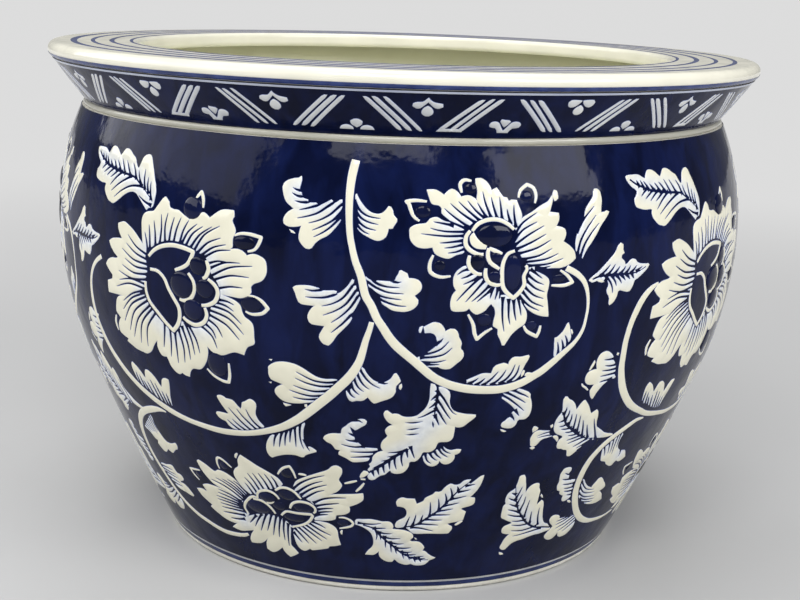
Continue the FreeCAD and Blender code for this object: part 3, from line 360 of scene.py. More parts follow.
"""3.6,8.6>2.6,16.6 7,7.4>5.2,15.4 10.1,5.8>7.4,12.4 13.4,4.2>10.8,12.6 17,2.6>14,14.6 20,1.6>17.2,13.2
22.6,.8>21,9.4 24.6,.4>24,8.6""", ""),
    "leaf_22": ((83, 82), """1.6,39 2.2,40.4 3.3,40.3 4.8,38.6 6.5,37.7 8,36.5 9.5,34.7 10.5,32.8
11.2,31.4 11.8,32.5 12.8,34.8 14.3,36.6 14.9,36.6 16.3,35.2 18,33.2 19.5,31 21,28.5 22,27.2 23.3,28.3
24.8,29.2 26.2,28 27.4,25 28.2,21 29.6,17.6 32,15.8 35,13.8 38,11.8 42,10.4 45.6,9.4 46.5,8.4 43,8.2
39,8.4 35,9 33,9.6 31.6,8.6 28,8 24.6,6.8 24,4.6 21.4,2.4 20,1 18.5,0 17,.1 16,1 15.2,3.5 14.5,4.8
12.3,5.3 10.5,6.3 8.2,6.7 7,8.2 6.6,10.5 7,12.5 8.5,14 8,15 6.5,15.8 4,17 2,19 1,21.5 .7,24 1,27 2.3,29.7
2.9,32 2,36""",
"""4.7,30.4>5.1,32.2>4.9,33.8 6.8,27>7.4,29>7.2,31.8 9.7,22.8>10,25.6>9.4,28.8 13.6,18.8>13.2,23>12.4,28.6
17,16.4>16.2,21.6>15.4,27 21.2,14>20,18.6>18.2,23.6 25.6,12>23.8,16>22.2,20
32,10.4>29.6,15>27.4,19.2>25.5,23.4 5.8,25.4>4.4,24.8>2.6,24.3 8,22.4>6.4,21.6>4,21.5
11,19.6>8.6,19.3>5.8,19.6 14.4,17.4>11.8,16.8>9,17.1 17.6,15>15,14.4>11.8,14.5 20,13.2>16,12.2>12,11.3
22.4,11.6>18,10.4>13.6,8.9 25,9.6>21.4,7.6>18,6 28.8,8.6>24.6,6.4>21,4.6 27.6,6.4>24.4,4.6>21.6,3""",
"""3,31 4.6,28.8 6,25.8 8,22.6 10.6,20.4 13.6,17.8 17,15.2 21,12.8 25,10.8 29,9.8 32.6,9.2"""),
    "leaf_23": ((72, 92), """.3,7.5 0,5.5 .7,3 1.2,1.2 2.5,.3 4,.6 5.2,2 6,3.5 7.5,4.8 10,5.3 12.5,5.9
12.3,6.8 10.3,7.6 9.9,8.7 10,9.8 6,10.3 4.3,10.7 2.5,10.6 1,9.5""",
"""11.6,6.8>7.4,6.5>3.8,5.8 10.4,9>7,8.3>3.4,6.9""", ""),
    "leaf_23_top": ((71, 101), """.5,3 .9,4.8 2.5,4.3 3.7,3.4 3.3,2.3 2,1.4 1.3,.8""", "", ""),
    "leaf_23_stem": ((85, 93), """0,4.7 2,5 3.7,3.5 4.3,1.3 4,.5 2.5,2.2 1,3.5""", "", ""),
    "leaf_24": ((94, 118), """5.5,4.5 5,6 5.8,8 6.5,9.6 3.8,9.7 1.8,10.6 .4,12.4 .1,14.4 .6,16.4 1.8,17.6
4,18.2 5.8,18.3 5.2,20 4.7,22.4 5,24.6 6,26.5 7.6,27.4 9.4,27.7 11.2,27 13,25.6 14.2,24.2 14.6,23.2
13.6,22.8 14.6,22.2 16,20.8 16.9,19.4 17.4,18.2 17.5,17.2 18,16 17.6,14.8 18.2,13.4 19.4,11.8 18.4,11.2
15.4,11.8 13.6,11.6 14.4,10.2 12.4,8.4 11,6.5 9.5,4 8.5,1 8,.7 6.5,2.3""",
"""14.9,23>12,22.8>9,23 17.2,19.4>14,19>10.4,19.6 18,17>14,16.6>9.2,16.8 18.1,14.4>14,14>9,13.7
15.6,11.1>12.4,10.8>9.4,10.3""", ""),
    "leaf_24_tip": ((95, 136), """.2,.4 1,3 2.2,5.6 2.8,4.4 2,2 .8,.2""", "", ""),
    "leaf_25": ((79, 194), """1,6 .9,8 1.3,10.5 2.3,13.5 3,16 4,18 5.5,19.6 6.2,22.5 7.5,25 9.5,27.5
11,29.5 11.2,31.5 12,33 13.2,33 14.7,32 15.3,30 15.5,27 15,24.5 14.8,21.7 16.5,21.8 18,22.4 19.3,21.8
18.3,20.2 16.5,18 14.5,15.7 13,13.3 11.5,11 9,7.5 7,5 5.5,2.5 4.6,.5 3.8,1.6 2.6,2.4 1.3,4""",
"""2.2,14>5.8,19.4>11.2,24.8 2.1,3.4>3.6,9>7,14.6>12,20.6 3.7,2>5.6,7>9.2,12.2>13.5,16.7""", ""),
    "leaf_26": ((87, 170), """.6,13.6 2.6,15.4 5,17 7,18.7 9,20.6 12,23.4 14.4,26 16,29 17.6,30.4
18.9,29.6 19,27 19.8,25.4 18.4,24.6 18.2,22.8 19,22.2 20.2,21 20.6,19.6 22,20 23.4,21.4 25,22 26.6,21.6
27.8,20.2 29.4,19.4 32,18.9 35.4,18.6 35.9,18 34.6,16.4 33,15 31,13.6 29,12.2 27,11.2 26.4,9.4 25.6,7.6
24.4,6.1 22.8,6 20.5,6.6 18.4,7.2 17.4,6.6 17,4.4 16,2.4 14.6,.8 13.2,.2 12.7,1.4 12.8,3.6 12.2,5 11.2,6.4
10.8,8 11.4,9.6 11.6,11 10.6,13 9.4,14.2 8.6,12.8 7,13.4 5,13.2 2.4,12.4""",
"""7.6,16>9.8,18>12,20.4 11.4,16>13.2,18>14.9,20.4 15,16>16.3,17.4>17.6,19.2 18.6,16>19.9,17.2>21,18.9
21.8,15.9>23,17.2>24,19 25.2,15.9>26.4,17>27.8,18.7 28.8,16.2>30,16.9>31.4,17.7
10.2,14.4>12.6,11.6>14,8.4>14.2,6 13.6,14.2>15.4,11.6>16.2,9.4 16.6,14>18,12.4>19.2,10.4
19.4,14>20.4,12.9>21.4,11.7 22.4,14>23.4,12.9>24.2,12 25.4,14>26,12.9>26.7,12.2""",
"""2.5,13.8 6,15 11,15.2 17,15.1 23,14.9 28,15.1 31,16 33.6,17.4"""),
    "leaf_27": ((110, 206), """0,25.8 1,26.4 4,26.5 7,26.5 9,26 11,24.8 12.5,24.2 13.2,26 14.5,28
16.5,28.3 18.5,27.8 20.5,26.5 22.2,25 23.3,24.4 24.5,26 26,28 28.3,28.3 30.5,27.5 33,25.8 35.5,24.3 37,22
38.5,20 39.5,20 40.3,22.5 41,25 42.8,26.8 45.5,27.3 47,26 48.5,23 50,20 51.5,16.5 53,13 53.8,10 53.6,6.6
53,3 52,2 50.3,1.8 49,.5 47.5,1.8 45,4 42.5,6.2 40,7.8 37,8 34,7 31,5.3 28,3 25,1 23,.2 21,.7 19,1.3 17,3
15.3,5 14.6,7 15,8.8 14,9.3 11.5,9.2 9,9.5 6.5,10.2 4.8,11 4,13 4.2,15 5.5,16.5 6,18.5 5,19.6 3.5,20.5
2,22 .5,24""",
"""7.6,21.6>7,22.8>6.4,23.8 10.6,20.4>9.8,22>8.9,23.7 13.6,19.4>12.6,21>11,23 17.2,18.8>16,20.2>14.8,21.6
21.4,18>20,20>18.4,21.8 25.4,17.4>23.6,19.8>21.4,22 29.4,16.6>27.6,19.6>25.4,23
33.6,16.4>31.6,19.4>29.4,22.6 38.4,15.6>36.8,19>34.6,22 42.6,13>40.8,16>39.8,19 45.8,11.4>44.8,15>44.4,20
48.4,9.8>47.6,12.6>47.4,16.4 50.8,7>50,10.6>49.6,14.6 12.8,19.2>10.4,17.4>8.6,15.6
16.4,18>13.6,16>11.2,14.2 19.8,17.4>16.8,15.2>14.4,13 23.4,16.6>20.6,14.4>18,12.6
26.8,16>22.4,12.6>18.6,8.6 34,14.8>28,11.6>23.6,8.6>20.4,6 43,11.4>36,10.6>29.4,7.6>23.6,3.4
50.4,3.4>47,4.4>42.4,6.8""",
"""2.4,24.4 4.6,22.8 7,21.4 10.6,20 14,18.6 18,17.8 23,17 28,16.2 33,15.8 38,15 42,12.6 46,10 50,7 52.2,5"""),
    "leaf_28": ((-93, 95), """4,20 4.4,20.8 6.6,21.3 8,20.8 9,20 12.6,19.6 13.6,18.8 15,16.6 16.6,15
17.4,16.4 18.1,19 19.8,20 22,21.6 23,22 24.6,21.4 25.6,20 25.6,18 24.8,15.4 24.4,13 24.8,11 25.6,9 27,7.2
27.8,6.2 27.6,5.4 26,5.2 24.8,4.4 23.4,4 21.8,3.2 20.4,2.8 18.6,2.2 17,2 14.6,1.2 12.6,1 10.6,.9 8.4,1.4
6.6,3 5.6,5 3.4,5.7 1.6,7 .6,9 1.4,10.2 4.4,10.4 7.6,10.2 8.4,10.6 7.4,12.4 5.6,15.6 4.6,18""",
"""25.4,4.7>22.6,7.6>20.6,11.2>19.4,15.4 22.6,3.6>19.6,6.8>16.4,10.6>14,14.6
19.4,2.4>15.4,6.2>12,10.6>9.3,14.4 16.2,1.6>12.8,4.2>9.8,7.4 12.9,1>9.4,3.6>6.6,6.4""", ""),
    "leaf_29": ((-67, 81), """4.4,14.4 5.6,15.4 6.6,15.4 8.2,16 9.6,16.8 10.8,16.7 12.3,17.8 13.8,18.2
15.4,19.4 16.4,19.6 17.8,20.9 19,21.6 20.5,22.9 22.2,24.2 24,25.8 24.1,25 23,21.6 22.5,18 22.4,14 23,11.2
24,10.4 25.2,10.7 26.6,10 28.4,8.6 28.4,7.8 26.4,6.9 24,5.8 22,4.6 21.2,3.4 19.8,3.2 17,4 14,4 10.5,3.4
7,2.2 4.6,1.1 2.8,.2 1.8,.8 .8,2.6 .5,5 1,8 2,10.6 3.4,13""",
"""7.6,15.6>6.2,12.2>5.1,7.6 10.8,16.8>9.6,13>8.3,7.8 13.6,18.2>12.4,14>11.7,9.2
16.1,19.6>15.3,15.6>14.7,11.8 18.5,21.2>18.2,16>17.7,9.4 21.4,23.4>20.7,17>21,12>21.8,8.8
23,13.5>23.6,10.6>25,7.8""", ""),
    "leaf_19_right": ((126, 66), """.8,13.4 .4,15.4 1.6,16.4 3.4,17.6 5,19.4 7,20.6 8.6,21.8 10.6,22.8
12.4,23.7 13.4,22.4 12.8,19.4 13.2,16 14.4,13.6 16,12 18.4,10.6 21,9.8 23.6,9.4 25.6,8 27.4,5.6 29,3.6
27.4,2.4 24.6,1.6 22.2,2 20.2,3.2 18.6,2.2 17.4,.4 15.4,.6 12.6,1.8 10.2,3.2 8.6,5 6,6 3.8,6.8 2.4,9""",
"""1.6,16>3.4,13>4.6,10 4.4,18.4>6,14.4>7,11 6.8,20>8.2,15>9,10.6 9.4,21.8>10,16>11.4,9.4
11.4,22.6>12,18>13,13.4 19.6,9.6>20.4,7.4>19.6,5.4""", ""),
    "leaf_20_right": ((120, 38), """.9,23.6 1.8,23.8 5.2,20.2 9,17.2 13.4,15.3 13.4,16.4 15,18.8 16.6,20.9
18.6,21.1 21.4,19.4 24,17 26.6,15 28.8,12.4 28.2,11.3 26,10.4 24.4,9.8 26.6,8.8 29.6,6.6 31.6,4 33.2,2.2
31.4,1.4 28,.8 23,1.2 18,2.4 14,4 11,5.6 10.2,6.6 7.6,8.4 5,10.4 4.2,12 3.2,15 2.3,17.6 1.6,20.6""",
"""1.7,21.6>5.6,17.6>10,14.8>17,13.2 2.8,17.2>7,13.6>12,11.8>19,10.9 4.5,12.8>9,10>14,8.6>21,7.6
8,8.6>13,6.8>18,5.9>23,5.4 12,5.2>17,4.2>22,3.6""", ""),
    "touches": ((0, 0), """60.7,136.8 61,137.9 61.8,138.4 64,138 65.2,137.4 63,136.8 61.6,136.3 /
59.2,136.2 60.2,137.5 60.3,139.5 59.6,139.9 58.9,138 / 91.5,183.3 93,183.8 95,183 96,182.2 94.5,182
92.5,182.7 / 115,48.5 117,48.2 119,46.6 118.5,46 116.5,46.9 / 73.2,91.6 75,90.3 76.3,91.3 75.4,92.1
74,92.2 / 81.4,105 82.6,105.8 83.2,104.4 82.4,103.4 / 110.4,144 111.6,143.6 111.2,142.4 110.2,142.9 /
75.4,17.6 77,17 78.6,16.2 79.5,15.4 77.4,15.2 76,16.2 / 91.6,57.6 92.6,56.6 93.8,54.6 92.6,55.2 91.4,56.6
/ 2.7,132.5 3.6,133.4 3.9,131.6 3.2,130 2.6,130.9 / -15.9,73.5 -13.4,73.5 -13.4,72.6 -15.7,72.6 /
-52.6,117.6 -50.4,117.2 -48.6,116.9 -50.2,116.2 -51.4,115.7 -52.2,116.6 / -41.9,118 -40.9,118.3
-40.6,117.2 -41.2,116.4 -41.8,116.8 / 15.8,33 17,32.6 17.8,31.8 16.8,31.7 / 80.6,159.8 81.4,159.4 82.1,158
81.8,156.9 81,158.2 / -47.4,206 -45.4,205.2 -44.6,204.4 -46.4,204.7 / -57.4,141.4 -55.8,141.6 -56.4,140.7
/ -58.6,128.8 -57.2,129 -57.6,128.1 / 53.7,105.7 55,105.2 57.2,104.2 56.2,103.8 54.6,104.4 / 93.4,128.8
92.7,129 93.4,127.4 95.4,126 97.4,124.4 97.8,124.8 96,126.6 94,127.9""", "", ""),
}
# Stems as a line of points, each with the stem's width there, measured from the front and the foot's top.
VINES = {
    "stem_front": """-20,239.8,3.6 -20.9,234.6,3.6 -21.5,229,3.4 -21.7,222,3.1 -21.4,213.6,2.8
-20.7,205.7,2.6 -19.5,199.6,2.6 -17.8,193,2.8 -15.2,186,3.1 -13.3,177.7,3.3 -10.5,172.5,3.3 -8.2,166.9,3.4
-5.4,162.3,3.6 -2.6,157.6,3.8 .2,153.9,4 2.8,151.2,4 5.6,148.6,4 9.3,145.2,4 13.1,141.5,4 17.7,137.3,4
23.3,134,4 28.9,131.9,4.1 35,130.5,4.2 42,129.8,4.2 49,129.8,4.2 55.1,131,4.1 60.7,133.3,4 65.3,136.3,4
69.5,139.1,3.8 77.7,146.7,3 83.7,152.7,2 87,158.7,1.5 88,164.7,1.2 88.3,171.3,1.2 87.3,178,1.6
85,183.3,2.2 81,187.3,2.6 75.7,190.3,2.7""",
    "stem_left": """-10.3,164.6,2 -11,161.3,2.2 -12.6,155.7,2.6 -14,149.7,3 -15.4,144.5,3.4 -18,138.9,4
-21.3,134,4.3 -25.5,129.1,4.4 -30.1,124,4.6 -35.7,118.4,4.7 -41.3,112.8,4.6 -47,107.8,4.4 -55,102.4,3.9
-65,98,3.3 -75,94.9,3.1 -85,93.3,3.5 -95,92.8,3.5 -110,94,3.2 -118,95.3,3.4 -125,97,3.8 -131,99,3.9
-138,101.8,4 -145,105.3,4 -150,108.5,4.1 -157,114,4.2 -163,120.5,4.1 -167.5,126.5,3.9 -171,133.5,3.6
-173.6,141,3.2 -174.6,150,2.8 -173.4,160,2.2 -170,168,1.8 -165,173.6,2 -159,177.4,2.2""",
    "stem_low": """-131.4,95.2,.8 -137,95.3,2.6 -143,93.9,3.8 -150,91.5,4 -155,89.3,4 -160,86.3,4
-165.3,81.4,4 -169.3,75.4,4 -171.6,69.1,3.9 -172.4,63.5,3.8 -172.1,57.8,3.8 -170.4,52.1,3.7
-167.6,45.9,3.6 -163.1,38.5,3.5 -158,31.9,3.4 -151.2,26.3,3.3 -142.7,22.3,3.1 -134.2,20,3 -125.6,17.9,3
-117.5,16.9,3 -108.5,17.5,2.8 -101.3,18.8,2.4 -96.8,20.6,1.6""",
    "stem_low_right": """153,96.2,.8 147,96.4,2.6 143,95,3.4 139,93.2,3.6 134,90.6,3.8 129,87.6,3.9
125,84.4,4 121.6,80,4.2 119.2,75.6,4.4 117.9,70,4.6 117.6,65,4.6 117.9,60,4.4 118.9,55,4.4 120.4,51,4.4
122.4,47,4.4 125.2,42.6,4.2 128.4,38.4,4.1 132,34.8,4 137,30.8,3.8 143,27.6,3.5 150,25,3 158,23.4,2.6
166,22.4,2.3 172,21.8,2 180,21.8,1.8 186,22.2,1.6""",
    "stem_left_right": """272.4,164.6,2 271.7,161.3,2.2 270.1,155.7,2.6 268.7,149.7,3 267.3,144.5,3.4
264.7,138.9,4 261.4,134,4.3 257.2,129.1,4.4 252.6,124,4.6 247,118.4,4.7 241.4,112.8,4.6 235.7,107.8,4.4
227.7,102.4,3.9 217.7,98,3.3 207.7,94.9,3 198,92.8,2.9 182,93.2,2.7 170,95.2,2.7 160,97.3,3 152,99.6,3
145,102.8,3.2 138,106.3,3.5 131.9,110.2,3.9 126.7,115,4 122.5,120,4.2 119.4,125,4.2 117.2,130,3.9
115.6,135,3.6 114.9,140,3.4 114.4,145,3.3 114.2,149,3.2 114.6,154,3.2 115.6,159.5,3.3 117.6,165,3.6
120.2,170,3.6 123.4,173.8,3.2 127,176.4,2.4 130.4,177.9,1.2""",
}
FLOWERS = (("lotus_front", FLOWER_TWO), ("lotus_side", FLOWER_ONE), ("lotus_low", FLOWER_THREE))
# The painter set some motifs a little differently in every second repeat. These are the ways round and up
# from the first place to the second.
SECOND_SHIFTS = {
    "lotus_low": (9.0, 1.5),
    "leaf_21": (6.5, -1.0),
    "leaf_16": (-10.0, 0.0),
    "leaf_17": (-10.0, 0.0),
    "leaf_18": (-10.0, 0.0),
}
# How wide the cuts of most leaves are, and of those whose cuts are finer or wider
CUT_WIDTH = 1.2
FINE = {
    "leaf_19": 1.0,
    "leaf_19_right": 1.0,
    "leaf_20": 1.0,
    "leaf_20_right": 1.0,
    "leaf_21": 1.5,
    "leaf_23": 0.9,
}
# Leaves whose outline already has a notch between each two ribs
NOTCHED = ("leaf_01", "leaf_03", "leaf_04")


# Sizes of the turned shape, in millimetres, as in the part's source
COAT = 0.5
FOOT_INNER, FOOT_SOLE, FOOT_ROUND_HEIGHT = 116.0, 129.9, 3.2
FOOT_LINE = 133.1
FOOT_TOP, FOOT_HEIGHT = 135.4, 8.0
BASE_TOP, BASE_HEIGHT = 140.3, 18.0
FLANK, FLANK_HEIGHT = 178.8, 104.5
BELLY, BELLY_HEIGHT = 194.5, 183.0
SHOULDER, SHOULDER_HEIGHT = 182.0, 243.0
NECK_FOOT, BEAD_HEIGHT, BEAD_SWELL, BEAD_SEAT = 180.1, 246.3, 1.2, 3.0
NECK_TOP, NECK_HEIGHT = 197.2, 269.0
RIM, RIM_OPENING, RIM_TOP = 200.0, 150.5, 277.5
# The wall's thickness, the drain hole's radius with its coat, and the points along each of the wall's arcs
WALL, DRAIN, ARC_POINTS = 9.0, 10.5, 24
# Points along the small rounds of the foot, the bead, the rim's outside and inner edges, and the lip's line
FOOT_POINTS, BEAD_POINTS, NOSE_POINTS, EDGE_POINTS, LIP_POINTS = 8, 7, 9, 7, 6

# The pattern's distance round is measured at this radius. The scroll comes four times round the wall.
AROUND = 180.0
REPEATS = 4
REPEAT = 2 * math.pi * AROUND / REPEATS
TRELLIS_REPEATS = 17
# How far the white decoration and the trellis's bars stand proud of the glaze
PAINT_LIFT, TRELLIS_LIFT = 0.26, 0.2


def level_arc(start, end, level):
    """Centre of the arc through two points whose centre lies at a height."""
    reach = (start[1] - level) ** 2 - (end[1] - level) ** 2
    return (start[0] ** 2 - end[0] ** 2 + reach) / (2 * (start[0] - end[0])), level


def smooth_arc(shared, other, middle):
    """Centre of the arc from shared to other that runs on smoothly from the arc about middle."""
    length = math.dist(shared, middle)
    toward = [(middle[i] - shared[i]) / length for i in (0, 1)]
    step = [other[i] - shared[i] for i in (0, 1)]
    radius = (step[0] ** 2 + step[1] ** 2) / (2 * (step[0] * toward[0] + step[1] * toward[1]))
    return shared[0] + radius * toward[0], shared[1] + radius * toward[1]


def arc_points(start, end, middle, count):
    """Points along the shorter arc from start to end, both included."""
    first = math.atan2(start[1] - middle[1], start[0] - middle[0])
    last = math.atan2(end[1] - middle[1], end[0] - middle[0])
    turn = (last - first + math.pi) % (2 * math.pi) - math.pi
    radius = math.dist(start, middle)
    steps = [first + turn * i / (count - 1) for i in range(count)]
    return [(middle[0] + radius * math.cos(a), middle[1] + radius * math.sin(a)) for a in steps]


def wall_line(shift, steps=1):
    """The wall's curve from the base disc's top to the shoulder, moved out by a shift."""
    base, flank = (BASE_TOP + shift, BASE_HEIGHT), (FLANK + shift, FLANK_HEIGHT)
    belly, shoulder = (BELLY + shift, BELLY_HEIGHT), (SHOULDER + shift, SHOULDER_HEIGHT)
    belly_middle = level_arc(flank, belly, BELLY_HEIGHT)
    flank_middle = smooth_arc(flank, base, belly_middle)
    shoulder_middle = level_arc(belly, shoulder, BELLY_HEIGHT)
    low = arc_points(base, flank, flank_middle, ARC_POINTS * steps)
    middle = arc_points(flank, belly, belly_middle, ARC_POINTS * steps)
    high = arc_points(belly, shoulder, shoulder_middle, ARC_POINTS * steps)
    return low + middle[1:] + high[1:]


def measured(line):
    """Distances along a line of points, from its first."""
    total = [0.0]
    for a, b in zip(line, line[1:]):
        total.append(total[-1] + math.dist(a, b))
    return total


# The wall from the foot's top to the shoulder, then the neck above the bead. The pattern's heights run on
# along both, with the bead's height between them, and the neck's may start a little lower than the neck.
WALL_LINE = [(FOOT_TOP + COAT, FOOT_HEIGHT)] + wall_line(COAT, 4)
WALL_RUN = measured(WALL_LINE)
NECK_LINE = [(NECK_FOOT + COAT, BEAD_HEIGHT), (NECK_TOP + COAT, NECK_HEIGHT)]
NECK_START, NECK_MARGIN = 253.3, 1
NECK_RUN = [NECK_START + run for run in measured(NECK_LINE)]


def on_line(line, run, up):
    """Radius, height and outward normal of a line at a distance along it."""
    i = min(max(bisect.bisect_right(run, up) - 1, 0), len(line) - 2)
    (r0, z0), (r1, z1) = line[i], line[i + 1]
    part = (up - run[i]) / (run[i + 1] - run[i])
    length = math.dist(line[i], line[i + 1])
    return r0 + part * (r1 - r0), z0 + part * (z1 - z0), (z1 - z0) / length, (r0 - r1) / length


def on_pot(across, up, lift=0.0):
    """A point of the pattern on the pot, in metres, raised by a lift."""
    line, run = (NECK_LINE, NECK_RUN) if up > NECK_START - NECK_MARGIN else (WALL_LINE, WALL_RUN)
    radius, height, out, rise = on_line(line, run, up)
    radius += out * lift
    height += rise * lift
    angle = across / AROUND
    return (radius * math.sin(angle) * MM, -radius * math.cos(angle) * MM, height * MM)


# Drawing the pattern on the flat

def point(word, corner=(0.0, 0.0)):
    """A point of a drawing, set at the drawing's corner, with any sizes that follow it."""
    across, up, *sizes = (float(number) for number in word.split(","))
    return (round(across + corner[0], 1), round(up + corner[1], 1), *sizes)


def points(text, corner=(0.0, 0.0)):
    """The points of one line of a drawing."""
    return [point(word, corner) for word in text.split()]


def lines(text, corner=(0.0, 0.0)):
    """The separate lines of a drawing."""
    return [points(part, corner) for part in text.split("/")]


def turn_at(a, b, c):
    """How far a line turns at its middle point, in radians."""
    before, after = (b[0] - a[0], b[1] - a[1]), (c[0] - b[0], c[1] - b[1])
    cross = before[0] * after[1] - before[1] * after[0]
    return abs(math.atan2(cross, before[0] * after[0] + before[1] * after[1]))


# The turn in radians from which a corner stays sharp, and how far apart the points of smooth lines lie
SHARP = 1.05
SPACING, CUT_SPACING, STEM_SPACING = 1.1, 1.3, 1.6


def curved(corners, closed=True, spacing=SPACING):
    """A smooth line through given points, kept sharp where it turns hard."""
    count = len(corners)
    sharp = []
    for i in range(count):
        inner = closed or 0 < i < count - 1
        hard = turn_at(corners[i - 1], corners[i], corners[(i + 1) % count]) > SHARP if inner else False
        sharp.append(hard)
    result = []
    for i in range(count if closed else count - 1):
        b, c = corners[i], corners[(i + 1) % count]
        a = corners[i - 1] if closed or i > 0 else b
        d = corners[(i + 2) % count] if closed or i + 2 < count else c
        leave = (0, 0) if sharp[i] else ((c[0] - a[0]) / 2, (c[1] - a[1]) / 2)
        reach = (0, 0) if sharp[(i + 1) % count] else ((d[0] - b[0]) / 2, (d[1] - b[1]) / 2)
        steps = max(1, round(math.dist(b, c) / spacing))
        for k in range(steps):
            t = k / steps
            one, two = 2 * t ** 3 - 3 * t ** 2 + 1, t ** 3 - 2 * t ** 2 + t
            three, four = -2 * t ** 3 + 3 * t ** 2, t ** 3 - t ** 2
            result.append(tuple(one * b[j] + two * leave[j] + three * c[j] + four * reach[j] for j in (0, 1)))
    if not closed:
        result.append(tuple(corners[-1][:2]))
    return result


def side_steps(line):
    """Unit vectors to the left of a line at each of its points."""
    result = []
    for i in range(len(line)):
        a, b = line[max(i - 1, 0)], line[min(i + 1, len(line) - 1)]
        length = math.dist(a, b) or 1.0
        result.append(((a[1] - b[1]) / length, (b[0] - a[0]) / length))
    return result


def band(line, halves):
    """The outline of a brush stroke along a line, with half its width at each point."""
    sides = side_steps(line)
    left = [(p[0] + n[0] * h, p[1] + n[1] * h) for p, n, h in zip(line, sides, halves)]
    right = [(p[0] - n[0] * h, p[1] - n[1] * h) for p, n, h in zip(line, sides, halves)]
    return left + right[::-1]


EIGHTHS = [math.pi * i / 4 for i in range(8)]
RIBBON_ENDS, CRESCENT_ENDS = 0.6, 0.35
STROKE_TIP = 0.02


def brush(corners, width, ends):
    """A stroke through given points that thins towards its ends, split where it turns hard."""
    legs = [[corners[0]]]
    for i in range(1, len(corners) - 1):
        legs[-1].append(corners[i])
        if turn_at(corners[i - 1], corners[i], corners[i + 1]) > SHARP:
            legs.append([corners[i]])
    legs[-1].append(corners[-1])
    whole = sum(measured(leg)[-1] for leg in legs)
    passed = 0.0
    result = []
    for leg in legs:
        line = curved(leg, False)
        run = measured(line)
        halves = []
        for along in run:
            part = min(max((passed + along) / whole, STROKE_TIP), 1 - STROKE_TIP)
            halves.append(width / 2 * (ends + (1 - ends) * math.sin(math.pi * part) ** 0.5))
        result.append(band(line, halves))
        passed += run[-1]
        if leg is not legs[-1]:
            end, half = line[-1], halves[-1]
            result.append([(end[0] + half * math.cos(a), end[1] + half * math.sin(a)) for a in EIGHTHS])
    return result


def stem(corners):
    """A stem whose width is given at each of its points."""
    line = curved([corner[:2] for corner in corners], False, STEM_SPACING)
    marks = measured([corner[:2] for corner in corners])
    run = measured(line)
    scale = marks[-1] / run[-1]
    halves = [np.interp(along * scale, marks, [corner[2] / 2 for corner in corners]) for along in run]
    return band(line, halves)


# A cut runs a little past its leaf's edge and flares there, or narrows if the outline has a notch there.
# Its half width is a share of the drawing's gap: the tip's, and what is added towards the open end.
BOW_DRIFT = 0.02
CUT_PAST, CUT_PAST_HALF = 1.7, 0.8
CUT_TIP, CUT_SWELL, CUT_TAPER = 0.16, 0.5, 0.55
FLARE, FLARE_LENGTH = 0.38, 2.4
NOTCH_PINCH = -0.34
INNER_CUT_TIP, INNER_CUT_SWELL = 0.1, 0.4


def cuts(text, corner, width, chance, notched=False):
    """The gaps of a drawing and their open ends. A mark like ~.1 bows the cuts after it to the left.

    A cut that starts with = lies inside its leaf and is thin at both ends.
    """
    bow = 0.0
    gaps, ends = [], []
    for word in text.split():
        if word[0] == "~":
            bow = float(word[1:])
            continue
        inside = word[0] == "="
        marks = [point(mark, corner) for mark in word.lstrip("=").split(">")]
        gaps.append(cut(marks, width, bow + chance.uniform(-BOW_DRIFT, BOW_DRIFT), inside, notched))
        ends.append(marks[0])
    return gaps, ends


def cut(corners, width, bow, inside, notched):
    """The dark gap between two ribs."""
    if len(corners) == 2:
        (x0, y0), (x1, y1) = corners
        middle = ((x0 + x1) / 2 - (y1 - y0) * bow, (y0 + y1) / 2 + (x1 - x0) * bow)
        corners = [corners[0], middle, corners[1]]
    line = curved(corners, False, CUT_SPACING)
    if inside:
        run = measured(line)
        swells = [math.sin(math.pi * along / run[-1]) for along in run]
        return band(line, [width * (INNER_CUT_TIP + INNER_CUT_SWELL * swell) for swell in swells])
    length = math.dist(line[0], line[1]) or 1.0
    back = [(line[0][i] - line[1][i]) / length for i in (0, 1)]
    past = [(line[0][0] + back[0] * far, line[0][1] + back[1] * far) for far in (CUT_PAST, CUT_PAST_HALF)]
    line = past + line
    run = measured(line)
    halves = []
    for along in run:
        part = min(max((along - CUT_PAST) / (run[-1] - CUT_PAST), 0.0), 1.0)
        flare = FLARE * max(0.0, 1 - along / FLARE_LENGTH)
        if notched:
            flare = NOTCH_PINCH * max(0.0, 1 - along / CUT_PAST)
        halves.append(width * (CUT_TIP + CUT_SWELL * (1 - part) ** CUT_TAPER + flare))
    return band(line, halves)


def filled(plates, gaps):
    """Triangles of the plates without the gaps, with the points at their edges and inside."""
    flat, edges = [], []
    for loop in plates + gaps:
        start = len(flat)
        flat += [Vector(spot) for spot in loop]
        edges += [(start + i, start + (i + 1) % len(loop)) for i in range(len(loop))]
    spots, found, border, ends = bordered(flat, edges, plates, gaps)
    lone = [Vector(spot) for spot in inner_spots(spots, border, ends)]
    spots, found, border, ends = bordered(flat + lone, edges, plates, gaps)
    return spots, found, border, distances(np.array([tuple(spot) for spot in spots]), ends)


def bordered(flat, edges, plates, gaps):
    """The triangulation with its border edges and the ends of each of them."""
    spots, found = triangles(flat, edges, plates, gaps)
    border = border_edges(found)
    return spots, found, border, np.array([[*spots[a], *spots[b]] for a, b in border])


# Points nearer together than this become one, and thinner triangles than this are left out
TOGETHER, SLIVER = 1e-4, 1e-7


